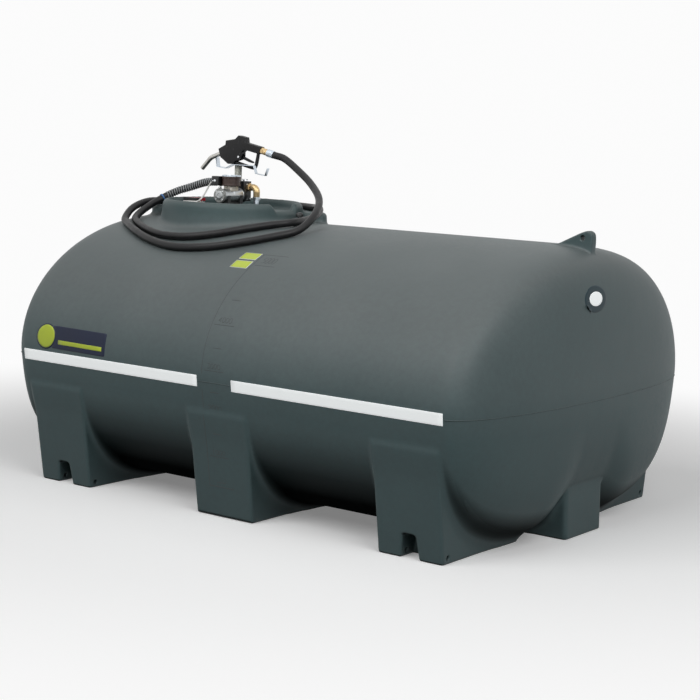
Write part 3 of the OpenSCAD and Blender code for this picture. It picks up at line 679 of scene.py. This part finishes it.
def lug_form(x, y, z):
    edge = -half_plane(x, z, LUG[0], LUG[1])
    for a, b in zip(LUG[1:], LUG[2:]):
        edge = smax(edge, -half_plane(x, z, a, b), 0.008)
    lug = smax(edge, np.abs(y) - 0.020, 0.007)
    return smax(lug, 0.010 - np.hypot(x - 1.183, z - 1.239), 0.003)


def lug_field(x, y, z):
    return joined(body_field(x, y, z), lug_form(x, y, z), 0.012)


def shelf_form(x, y, z):
    dx = x - WELL_X
    outer = np.hypot(dx, y) - SHELF_RADIUS - (SHELF - z) * 0.008 / 0.167
    low, high = radians(30), radians(195)
    wedge = smax(sin(low) * dx - cos(low) * y, -sin(high) * dx + cos(high) * y, 0.02)
    return smax(smax(outer, wedge, 0.05), z - SHELF, 0.022)


def rim_height(x, y):
    dip = smooth_step(-0.098, -0.062, y) - smooth_step(0.060, 0.092, y)
    return RIM - 0.033 * dip * (x > WELL_X)


def collar_form(x, y, z):
    r = np.hypot(x - WELL_X, y)
    ring = smax(r - collar_reach(z), 0.297 - r, 0.004)
    return smax(ring, z - rim_height(x, y), 0.030)


def raised_form(x, y, z):
    return smin(collar_form(x, y, z), shelf_form(x, y, z), 0.02)


def well_field(x, y, z):
    return joined(body_field(x, y, z), raised_form(x, y, z), 0.025)


def left_lug_field(x, y, z):
    return joined(smin(body_field(x, y, z), raised_form(x, y, z), 0.025), lug_form(-x, y, z), 0.012)


def body_or_well(x, y, z):
    return np.minimum(body_field(x, y, z), raised_form(x, y, z))


SIDES, MIDDLE_RINGS, END_RINGS, MIDDLE_REACH = 200, 38, 46, 0.82


def make_body_skin():
    """Barrel and both ends as one closed skin of even rings."""
    t = np.linspace(0, 2 * pi, 6001)
    up = np.sin(t) > 0
    c, d = np.abs(np.cos(t)), np.abs(np.sin(t))
    z = np.where(up, CROWN_RISE * d ** (2 / CROWN_POWER), -BELLY_DROP * d ** (2 / BELLY_POWER))
    low_width = c ** (2 / BELLY_POWER) * (1 - NARROWING * d ** (2 / BELLY_POWER))
    y = np.sign(np.cos(t)) * HALF_WIDTH * np.where(up, c ** (2 / CROWN_POWER), low_width)
    oval = np.stack([y, z], 1)
    run = run_of(oval)
    oy, oz = at_run(np.linspace(0, run[-1], SIDES, endpoint=False), run, oval).T
    fine = HALF_LENGTH - 0.5 * (1 - np.linspace(0, 1, 8001)) ** 2.5
    wide, high = width_left(fine), left_after(fine, END_CURVE, RISE_POWER)
    arc = run_of(np.stack([fine, wide, 0.6 * high], 1))
    last = arc[np.searchsorted(-wide, -0.05)]
    end = at_run(np.linspace(0, last, END_RINGS), arc, np.stack([fine, wide, high], 1))
    middle = np.linspace(-MIDDLE_REACH, MIDDLE_REACH, MIDDLE_RINGS + 2)[1:-1]
    rings = [(-x, w, h) for x, w, h in end[::-1]] + [(x, 1, 1) for x in middle] + list(end)
    verts = []
    for x, w, h in rings:
        low = left_after(x, END_CURVE, drop_power(w * oy))
        verts += list(zip(np.full(SIDES, x), w * oy, EQUATOR + np.where(oz > 0, h, low) * oz))
    faces = ring_faces(len(rings), SIDES, flip=True)
    last = len(verts) - SIDES
    left, right = len(verts), len(verts) + 1
    verts += [(-HALF_LENGTH, 0, EQUATOR), (HALF_LENGTH, 0, EQUATOR)]
    faces += [(left, i, (i + 1) % SIDES) for i in range(SIDES)]
    faces += [(right, last + (i + 1) % SIDES, last + i) for i in range(SIDES)]
    add_mesh("tank_skin", verts, faces, M["shell"], slot="shell", nodes=["barrel", "end_left", "end_right"])


CORNERS = {"front_right": (1, 1), "front_left": (-1, 1), "rear_right": (1, -1), "rear_left": (-1, -1)}


def leg_copies(**mirrors):
    return [("leg_skin_" + place, ["leg_" + place], mirror) for place, mirror in mirrors.items()]


# Each net's field, box, step, what hides it, and its copies with the nodes and the mirroring of each.
SKINS = [
    (corner_leg_field, (0.70, -1.03, -0.02), (1.20, -0.24, 0.56), 0.007, body_field,
     leg_copies(**CORNERS)),
    (middle_leg_field, (-0.26, -1.03, -0.02), (0.26, -0.24, 0.56), 0.010, body_field,
     leg_copies(front_middle=(1, 1), rear_middle=(1, -1))),
    (end_leg_field, (0.96, -0.26, -0.02), (1.33, 0.26, 0.36), 0.008, body_field,
     leg_copies(end_right=(1, 1), end_left=(-1, 1))),
    (lug_field, (0.98, -0.09, 1.05), (1.32, 0.09, 1.285), 0.005, body_field,
     [("lug_skin_right", ["lifting_lug_right"], (1, 1))]),
    (well_field, (WELL_X - 0.56, -0.55, 1.02), (WELL_X + 0.48, 0.55, 1.31), 0.008, body_field,
     [("well_skin", ["well_collar", "hose_shelf"], (1, 1))]),
    (left_lug_field, (-1.32, -0.09, 1.05), (-1.02, 0.09, 1.285), 0.005, body_or_well,
     [("lug_skin_left", ["lifting_lug_left"], (1, 1))]),
]
make_body_skin()
for net_field, net_low, net_high, net_step, above, copies in SKINS:
    net = keep_shown(*surface_net(net_field, net_low, net_high, net_step), above)
    for skin_name, replaced, mirror in copies:
        skin_mesh(skin_name, *net, replaced, mirror)


# ---------------- marks on the skin
def field_normal(p, field=body_field):
    g = rises(field, p, 0.0005)
    return g / np.linalg.norm(g, axis=1)[:, None]


def on_skin(points, lift=0.0, field=body_field):
    """Moves points onto the skin, then out along its normal."""
    p = np.array(points, float).reshape(-1, 3)
    for _ in range(5):
        p = p - field(*p.T)[:, None] * field_normal(p, field)
    return p + np.broadcast_to(lift, (len(p),))[:, None] * field_normal(p, field)


SEAM, TAPE_START, TAPE_END, TAPE_HALF = EQUATOR - 0.020, 0.094, 1.134, 0.0245
SUNK = -0.0004  # how deep the rims of tapes and plates lie under the skin


def make_strip(name, sx, sy, node):
    """A reflective tape along the tank's side just under its widest line, with soft thin edges."""
    low, high = SEAM - TAPE_HALF, SEAM + TAPE_HALF
    xs = np.linspace(TAPE_START, TAPE_END, 40)
    rows = [(low, SUNK), (low, 0.0011)] + [(z, 0.0013) for z in np.linspace(low + 0.0006, high - 0.0006, 7)]
    rows += [(high, 0.0011), (high, SUNK)]
    columns = [(xs[0], SUNK)] + [(x, None) for x in xs] + [(xs[-1], SUNK)]
    verts = []
    for x, fixed in columns:
        for z, lift in rows:
            q = on_skin([(x, -HALF_WIDTH * width_left(x), z)], lift if fixed is None else fixed)[0]
            verts.append((q[0] * sx, q[1] * sy, q[2]))
    faces = ring_faces(len(columns), len(rows), closed=False, flip=sx * sy < 0)
    add_mesh(name, verts, faces, M["tape"], slot="reflective", nodes=[node])


def make_parting_line():
    """The mould's parting line, a fine raised bead where no tape covers it."""
    start = TAPE_END + 0.004
    x = start + (HALF_LENGTH - start) * np.sin(np.linspace(0, 1, 121) * pi / 2)
    y = -HALF_WIDTH * width_left(x)
    x, y = np.concatenate([x, x[-2::-1]]), np.concatenate([y, -y[-2::-1]])
    gap = np.linspace(-TAPE_START + 0.004, TAPE_START - 0.004, 24)
    for name, px, py in (("right", x, y), ("left", -x, y), ("front", gap, -HALF_WIDTH),
                         ("rear", gap, HALF_WIDTH)):
        path = on_skin(np.stack(np.broadcast_arrays(px, py, SEAM), 1), 0.0002)
        tube("parting_line_" + name, path, 0.0017, 6, M["shell"], slot="shell")


def patch(name, outline, centre, u, v, lift, mat, rings=8):
    """A thin flexible plate with the given outline, laid on the tank's skin."""
    centre, u, v, o = (np.array(q, float) for q in (centre, u, v, outline))
    n = len(o)
    shares = [*np.linspace(0, 1, rings + 1)[1:-1], 0.994, 1.0]
    lifts = [lift] * (rings - 1) + [lift - 0.0002, SUNK]
    flat = np.concatenate([o * s for s in shares])
    verts = on_skin(centre + flat[:, :1] * u + flat[:, 1:] * v, np.repeat(lifts, n))
    middle = on_skin([centre], lift)
    faces = ring_faces(len(shares), n) + [(len(verts), (i + 1) % n, i) for i in range(n)]
    mesh = add_mesh(name, np.concatenate([verts, middle]), faces, M[mat], slot="lid").data
    if mesh.polygons[-1].normal.dot(Vector(field_normal(middle)[0])) < 0:
        mesh.flip_normals()


def round_box(w, h, r, steps=5):
    points = []
    for i, (sx, sy) in enumerate(((1, 1), (-1, 1), (-1, -1), (1, -1))):
        for k in range(steps + 1):
            a = radians(90 * i + 90 * k / steps)
            points.append((sx * (w / 2 - r) + r * cos(a), sy * (h / 2 - r) + r * sin(a)))
    dense = []
    for a, b in zip(points, points[1:] + points[:1]):
        parts = max(1, int(dist(a, b) / 0.02))
        dense += [(a[0] + (b[0] - a[0]) * k / parts, a[1] + (b[1] - a[1]) * k / parts) for k in range(parts)]
    return dense


def disc(r, rv=None, n=64):
    return [(r * cos(2 * pi * k / n), (rv or r) * sin(2 * pi * k / n)) for k in range(n)]


def make_signs():
    """Bare plates and labels where the tank carries them."""
    side, slant = -HALF_WIDTH, (1, 0, -0.012)
    patch("name_plate", round_box(0.330, 0.106, 0.008), (-0.796, side, 0.680), slant, UP, 0.0011, "navy", 10)
    bar = round_box(0.272, 0.019, 0.003)
    patch("name_plate_bar", bar, (-0.786, side, 0.6575), slant, UP, 0.0014, "lime", 4)
    place = (-1.000, side, 0.681)
    patch("plate_disc_edge", disc(0.060), place, RIGHT, UP, 0.0014, "navy")
    patch("plate_disc", disc(0.054), place, RIGHT, UP, 0.0018, "lime")
    place = (HALF_LENGTH, -0.113, 1.007)
    n = field_normal(on_skin([place]))[0]
    side = np.cross(UP, n)
    side /= np.linalg.norm(side)
    rise = np.cross(n, side)
    patch("badge_edge", disc(0.085, 0.056), place, side, rise, 0.0008, "badge_teal")
    # The badge's pale middle glows with the tape's painted light.
    patch("badge", disc(0.050, 0.030), place, side, rise, 0.0012, "tape")
    for name, place in (("upper", (-0.127, -0.568, 1.088)), ("lower", (-0.127, -0.629, 1.057))):
        rise = np.cross(field_normal(on_skin([place]))[0], RIGHT)
        patch("label_edge_" + name, round_box(0.094, 0.057, 0.003), place, RIGHT, rise, 0.0004, "label_white")
        patch("label_" + name, round_box(0.088, 0.051, 0.002), place, RIGHT, rise, 0.0008, "lime")


# Each digit's line, 6 wide and 10 high.
STROKES = {
    "0": [(0, 2), (0, 8), (2, 10), (4, 10), (6, 8), (6, 2), (4, 0), (2, 0), (0, 2)],
    "1": [(1, 8), (3, 10), (3, 0)],
    "2": [(0, 8), (1.5, 10), (4.5, 10), (6, 8), (6, 6.5), (0, 0), (6, 0)],
    "3": [(0, 10), (6, 10), (3, 6), (5, 5.5), (6, 3.5), (6, 2), (4.5, 0), (1.5, 0), (0, 1.5)],
    "4": [(4.5, 0), (4.5, 10), (0, 3), (6, 3)],
    "5": [(5.5, 10), (0.5, 10), (0, 5.5), (3.5, 6), (6, 4), (6, 2), (4, 0), (1.5, 0), (0, 1)],
}


def ribbon(verts, faces, points, width, field):
    """Adds a thin raised line along points on the skin."""
    run = run_of(points)
    at = np.unique(np.concatenate([np.linspace(0, run[-1], max(2, int(run[-1] / 0.012) + 1)), run]))
    q = on_skin(at_run(at, run, points), 0.0, field)
    normal = field_normal(q, field)
    side = np.cross(normal, np.gradient(q, axis=0))
    side /= np.linalg.norm(side, axis=1)[:, None]
    first, rows = len(verts), ((-0.5, -0.0003), (-0.4, 0.0005), (0.4, 0.0005), (0.5, -0.0003))
    for k in range(len(q)):
        for across, lift in rows:
            verts.append(q[k] + side[k] * across * width + normal[k] * lift)
    for k in range(len(q) - 1):
        for j in range(3):
            a = first + 4 * k + j
            faces.append((a, a + 1, a + 5, a + 4))


LEG_TOP, SCALE_HALF, DIGIT = 0.450, 0.067, 0.022


def make_level_scale():
    """The level scale moulded down the front: a border, marks and plain numbers."""
    verts, faces = [], []

    def front(x, z):
        if z < LEG_TOP:
            return (x, LEG_Y - LEG_LEAN * z - 0.097 * max(0.0, z - LEG_BEND), z)
        up = z > EQUATOR
        b = abs(z - EQUATOR) / (CROWN_RISE if up else BELLY_DROP)
        n = CROWN_POWER if up else BELLY_POWER
        return (x, -HALF_WIDTH * max(0.0, 1 - b**n) ** (1 / n) * (1 - (0 if up else NARROWING * b)), z)

    def line(points, width=0.0028):
        field = middle_leg_field if points[0][1] < LEG_TOP else body_field
        ribbon(verts, faces, [front(x, z) for x, z in points], width, field)

    for heights in ((1.098, 0.95, 0.78, 0.62), (0.552, 0.462), (0.445, 0.30, 0.135)):
        line([(-SCALE_HALF, z) for z in heights])
    line([(-SCALE_HALF, 1.098), (SCALE_HALF, 1.098)])
    line([(-SCALE_HALF, 0.135), (SCALE_HALF, 0.135)], 0.0036)
    for thousands, z in ((5, 1.058), (4, 0.824), (3, 0.637), (2, 0.460), (1, 0.267)):
        line([(-0.0535, z), (0.0535, z)])
        for i, digit in enumerate(str(1000 * thousands)):
            line([((i * 0.85 + a / 10) * DIGIT - 0.038, z + 0.010 + b / 10 * DIGIT * 0.9)
                  for a, b in STROKES[digit]], 0.0024)
    for z in (0.923, 0.731, 0.546, 0.366, 0.155):
        line([(-0.024, z), (0.024, z)])
    add_mesh("level_scale", verts, faces, M["scale_mark"], slot="shell")


for corner, mirror in CORNERS.items():
    make_strip("tape_" + corner, *mirror, "strip_" + corner)
make_parting_line()
make_signs()
make_level_scale()


# ---------------- equipment
CREASE = radians(32)


def turned(name, profile, places, axis, mat, sides=40, nodes=()):
    """Lathe forms from (radius, height) points in millimetres, one at each place."""
    turn = Vector(UP).rotation_difference(Vector(axis)).to_matrix()
    angles = np.linspace(0, 2 * pi, sides, endpoint=False)
    form = [turn @ Vector((r * cos(a), r * sin(a), h)) / 1000 for r, h in profile for a in angles]
    verts, faces = [], []
    for at in places:
        faces += capped_rings(len(profile), sides, len(verts))
        verts += [Vector(at) + v for v in form]
    piece = add_mesh(name, verts, faces, M[mat], nodes=nodes)
    piece.data.set_sharp_from_angle(angle=CREASE)


def refined(node, bevel, mat, body="root"):
    """A copy of a node with its edges rounded."""
    source = NODES[node]
    bm = bmesh.new()
    bm.from_mesh(source.data)
    bm.transform(source.matrix_world)
    bmesh.ops.remove_doubles(bm, verts=bm.verts, dist=1e-5)
    bmesh.ops.dissolve_limit(bm, angle_limit=radians(1), verts=bm.verts, edges=bm.edges)
    edges = [e for e in bm.edges if e.is_manifold and e.calc_face_angle() > radians(30)]
    bmesh.ops.bevel(bm, geom=edges, offset=bevel, segments=3, profile=0.5, affect="EDGES", clamp_overlap=True)
    mesh = bpy.data.meshes.new(node + "_form")
    bm.to_mesh(mesh)
    bm.free()
    mesh.materials.clear()
    mesh.shade_smooth()
    mesh.set_sharp_from_angle(angle=CREASE)
    add_piece(node + "_form", mesh, M[mat], body, nodes=[node])


def around(centre, radius, angles, upright=False):
    """Places round a centre, in a level plane or in an upright one that faces the front."""
    x, y, z = centre
    spread = [(radius * cos(a), radius * sin(a)) for a in angles]
    return [(x + u, y, z + v) if upright else (x + u, y + v, z) for u, v in spread]


def screw_head(r, h):
    return [(r, 0), (r, 0.7 * h), (0.8 * r, h), (0.45 * r, h), (0.4 * r, 0.6 * h)]


def nut(r, h):
    return [(r - 1.5, 0), (r, 1.2), (r, h - 1.2), (r - 1.5, h)]


def make_pump():
    for node, bevel, mat in (("pump_base", 0.0012, "cast_black"), ("pump_head", 0.003, "cast_black"),
                             ("motor_cap", 0.0015, "motor_cap_grey"), ("outlet_elbow", 0.001, "brass"),
                             ("port_block", 0.003, "alloy"), ("switch_box", 0.003, "cast_black"),
                             ("hose_outlet", 0.002, "cast_black"), ("nozzle_post", 0.002, "post_grey"),
                             ("nozzle_holder", 0.0006, "zinc"), ("suction_pipe", 0.001, "zinc")):
        refined(node, bevel, mat)
    y, z = -0.080, MOTOR_Z
    rim, low = 32, 31.2
    turned("motor_barrel", [(30, 0), (rim, 1), (rim, 9), (low, 10), (low, 66), (rim, 67), (rim, 71),
           (low, 72), (low, 130), (rim, 131), (rim, 139), (30, 140)], [(PUMP_X, y, z)], (0, 1, 0),
           "motor_grey", 64, ["pump_motor"])
    cap = (PUMP_X, y - 0.012, z)
    turned("motor_cap_disc", [(22, 0), (22, 0.8), (20, 1.6), (10, 1.6), (9, 0.6), (2, 0.6)], [cap], FRONT,
           "motor_grey", 48)
    screws = around(cap, 0.027, np.radians([45, 135, 225, 315]), True) + [(PUMP_X, y - 0.012, z + 0.036)]
    turned("motor_screws", screw_head(3, 2), screws, FRONT, "bright", 6)
    head = y + 0.140
    turned("head_cap", [(14.5, 0), (14.5, 6), (13.5, 8.5), (10, 9.5), (3, 10)],
           [(PUMP_X, head + 0.036, z + 0.0665)], UP, "bright", 48)
    bolts = [(PUMP_X + 0.0230, head + dy, z + dz) for dz in (0.052, -0.018) for dy in (0.024, 0.048)]
    turned("head_bolts", screw_head(4.5, 3), bolts, RIGHT, "bright", 6)
    elbow, pipe_x = head + 0.038, PUMP_X + 0.073
    turned("elbow_nut", nut(20.5, 14), [(PUMP_X + 0.0225, elbow, z + 0.038)], RIGHT, "brass", 6)
    turned("pipe_nut", nut(19.5, 16), [(pipe_x, elbow, z - 0.022)], UP, "zinc", 6)
    turned("pipe_flange", [(24, 0), (24, 4), (22, 5), (16, 6), (13.5, 12)],
           [(pipe_x, elbow, LID_TOP + 0.006)], UP, "zinc")
    feet = [(PUMP_X + dx, foot_y, LID_TOP + 0.006) for dx, foot_y in (
        (-0.088, -0.088), (0.080, -0.088), (-0.088, 0.050), (0.080, 0.045))]
    turned("base_bolts", screw_head(6, 5), feet, UP, "bright", 6)


def make_meter():
    def above(height):
        return (PUMP_X, METER_Y, BLOCK_TOP + height)

    rim, low = 45, 43.6
    turned("meter_drum", [(43, 0), (rim, 2), (rim, 7), (low, 9), (low, 34), (rim, 36), (rim, 45)], [above(0)],
           UP, "meter_brown", 72, ["meter_body"])
    turned("meter_rim", [(45.2, 0), (46, 0.8), (46, 5.2), (45.2, 6), (41.5, 6), (41, 5.5), (40.5, 2)],
           [above(0.045)], UP, "zinc", 72, ["meter_bezel"])
    turned("meter_dial", [(40.3, 0), (40.3, 0.4), (40, 0.6)], [above(0.047)], UP, "label_white", 64)
    turned("meter_counter", [(20, 0), (20, 1.4), (19, 2), (2, 2)], [above(0.0476)], UP, "cast_black", 4)
    turned("meter_hand", [(4.5, 0), (4.5, 1.6), (3, 2.6)], [above(0.0496)], UP, "bright", 24)
    turned("meter_screws", screw_head(2.2, 1.2),
           around(above(0.051), 0.0436, np.radians([20, 110, 200, 290])), UP, "bright", 6)
    turned("toggle", [(7, 0), (7, 2.5), (5, 3), (5, 6), (2.2, 7), (3, 16), (1.5, 18)],
           [(BOX_LEFT + 0.021, METER_Y - 0.050, BLOCK_TOP + 0.022)], FRONT, "bright", 6)
    turned("lead_relief", [(8.5, 0), (8.5, 2), (6.5, 2.8), (7.2, 4.5), (5.5, 5.5), (6, 7.5), (4.7, 9),
           (4.6, 10.5)], [LEAD_ROUTE[0]], (-1, 0, 0), "cast_black", 24)
    turned("outlet_nut", nut(21, 13), [(OUTLET_END + 0.001, OUTLET_Y, OUTLET_Z)], RIGHT, "cast_black", 6)


def make_lid():
    turned("lid_form", [(228, 0), (232, 1.5), (232, 7), (230, 10), (226, 12), (196, 12), (193, 10.5),
           (189, 10.5), (186, 12), (50, 12)], [(WELL_X, 0, CROWN + 0.005)], UP, "lid_plastic", 96,
           ["manway_lid"])
    bolts = around((WELL_X, 0, LID_TOP), 0.212, np.linspace(0, 2 * pi, 16, endpoint=False) + 0.1)
    turned("lid_bolts", screw_head(7.5, 6), bolts, UP, "bright", 6)
    turned("vent_form", [(9, 19), (9, 44), (16.5, 44), (17.5, 45.5), (17.5, 56), (16.5, 59), (12, 64),
           (6, 66)], [(WELL_X + 0.371, 0.045, CROWN - 0.020)], UP, "lid_plastic", nodes=["vent_cap"])


def make_nozzle():
    refined("nozzle_body", 0.0022, "nozzle_black")
    refined("nozzle_spout", 0.001, "spout_alloy")
    refined("nozzle_lever", 0.0012, "nozzle_black", "trigger")
    axis = (cos(HANDLE_TILT), 0, -sin(HANDLE_TILT))
    turned("swivel_form", nut(16, 16), [handle_axis(0.001)], axis, "brass", 6)
    ridges = [((15.3, 15.8)[i % 2], 19 + 2 * i) for i in range(7)]
    turned("swivel_ring", [(12.5, 0), (12.5, 18), *ridges, (13.5, 32), (13.5, 40)], [handle_axis(0)], axis,
           "brass", nodes=["hose_swivel"])
    grooves = [(r, 1 + 4.5 * i + d) for i in range(8) for r, d in
               ((18.3, 0), (18.3, 3), (17.4, 3.6), (17.4, 4.2))]
    turned("ferrule_form", [(16.5, 0), *grooves, (17.2, 38)], [handle_axis(0.040)], axis, "zinc", 48,
           ["hose_ferrule"])

    def at(x, z, y=0.0):
        return (POST_X + x, NOZZLE_Y + y, NOZZLE_Z + z)

    side = -0.017
    screws = [at(x, z, side) for x, z in ((-0.060, 0.082), (-0.020, 0.070), (0.012, 0.110), (0.022, 0.052))]
    turned("nozzle_screws", screw_head(3.5, 1.2), screws, FRONT, "cast_black", 24)
    bar = [at(x, z) for x, z in ((-0.022, 0.012), (0.030, -0.001), (0.085, -0.012), (0.104, -0.011),
                                 (0.113, 0.004), (0.119, 0.030), (0.124, 0.062))]
    tube("guard_bar", smooth_path(bar, 6), 0.0085, 12, M["nozzle_black"])
    turned("nozzle_pin", [(5.5, 0), (5.5, 1.2), (4.5, 2), (2, 2)], [at(0.012, 0.036, side)], FRONT, "bright",
           24)


make_pump()
make_meter()
make_lid()
make_nozzle()

# ---------------- studio
BACKDROP, SKY_TINT = (0.97, 0.97, 0.97), (0.93, 0.97, 1.0)
WORLD_LIGHT, FLOOR_BOUNCE, FLOOR_GLOW, FLOOR_REACH = 0.04, 0.03, 0.20, 60
LAMPS = [
    ("overhead", (0, -0.5, 6.0), (7, 6), 50),
    ("front", (-1.0, -6.5, 6.5), (6, 5), 300),
    ("right", (6.0, -3.0, 5.5), (5, 5), 270),
]
LAMPS_AIM = (0, 0, 0.6)


def make_world():
    """Faint light that grows with height, and a plain backdrop for the camera and reflections."""
    world = bpy.data.worlds.new("studio")
    bpy.context.scene.world = world
    g = Graph(world)
    g.tree.nodes.clear()
    height = g.split(g.node("TexCoord").outputs["Generated"])["Z"]
    strength = g.node("MapRange", {"Value": height, "To Max": WORLD_LIGHT}).outputs[0]
    sky, plain = g.plain("Background", SKY_TINT, Strength=strength), g.plain("Background", BACKDROP)
    g.node("OutputWorld", {0: g.mix_shaders(g.seen_directly(), sky, plain)})


def make_floor():
    """A pale floor that fades into the backdrop, and that throws little light up at the belly."""
    g = material("pale_floor", (0.90, 0.90, 0.90), 0.9, Specular_IOR_Level=0.1, Emission_Color=(1, 1, 1),
                 Emission_Strength=FLOOR_GLOW)
    distance = g.node("VectorMath", {0: g.coords()}, operation="LENGTH").outputs["Value"]
    away = g.ramp(g.math("MULTIPLY", distance, 0.1), [(0.17, 0.0), (0.42, 1.0)], "EASE")
    pale = g.mix_shaders(away, g.shader.outputs[0], g.plain("Emission", BACKDROP))
    dim = g.plain("BsdfDiffuse", (FLOOR_BOUNCE,) * 3)
    g.show(g.mix_shaders(g.seen_directly(), dim, pale))
    corners = [(x * FLOOR_REACH, y * FLOOR_REACH, 0) for x, y in ((-1, -1), (1, -1), (1, 1), (-1, 1))]
    add_mesh("floor", corners, [(0, 1, 2, 3)], g.owner, body=None)


def make_lamps():
    for name, place, size, power in LAMPS:
        data = bpy.data.lights.new(name, "AREA")
        data.shape = "RECTANGLE"
        data.size, data.size_y = size
        data.energy = power
        lamp = new_object(name, data)
        lamp.location = place
        lamp.rotation_euler = (Vector(LAMPS_AIM) - Vector(place)).to_track_quat("-Z", "Y").to_euler()


make_world()
make_floor()
make_lamps()
bpy.context.scene.view_settings.view_transform = "Standard"
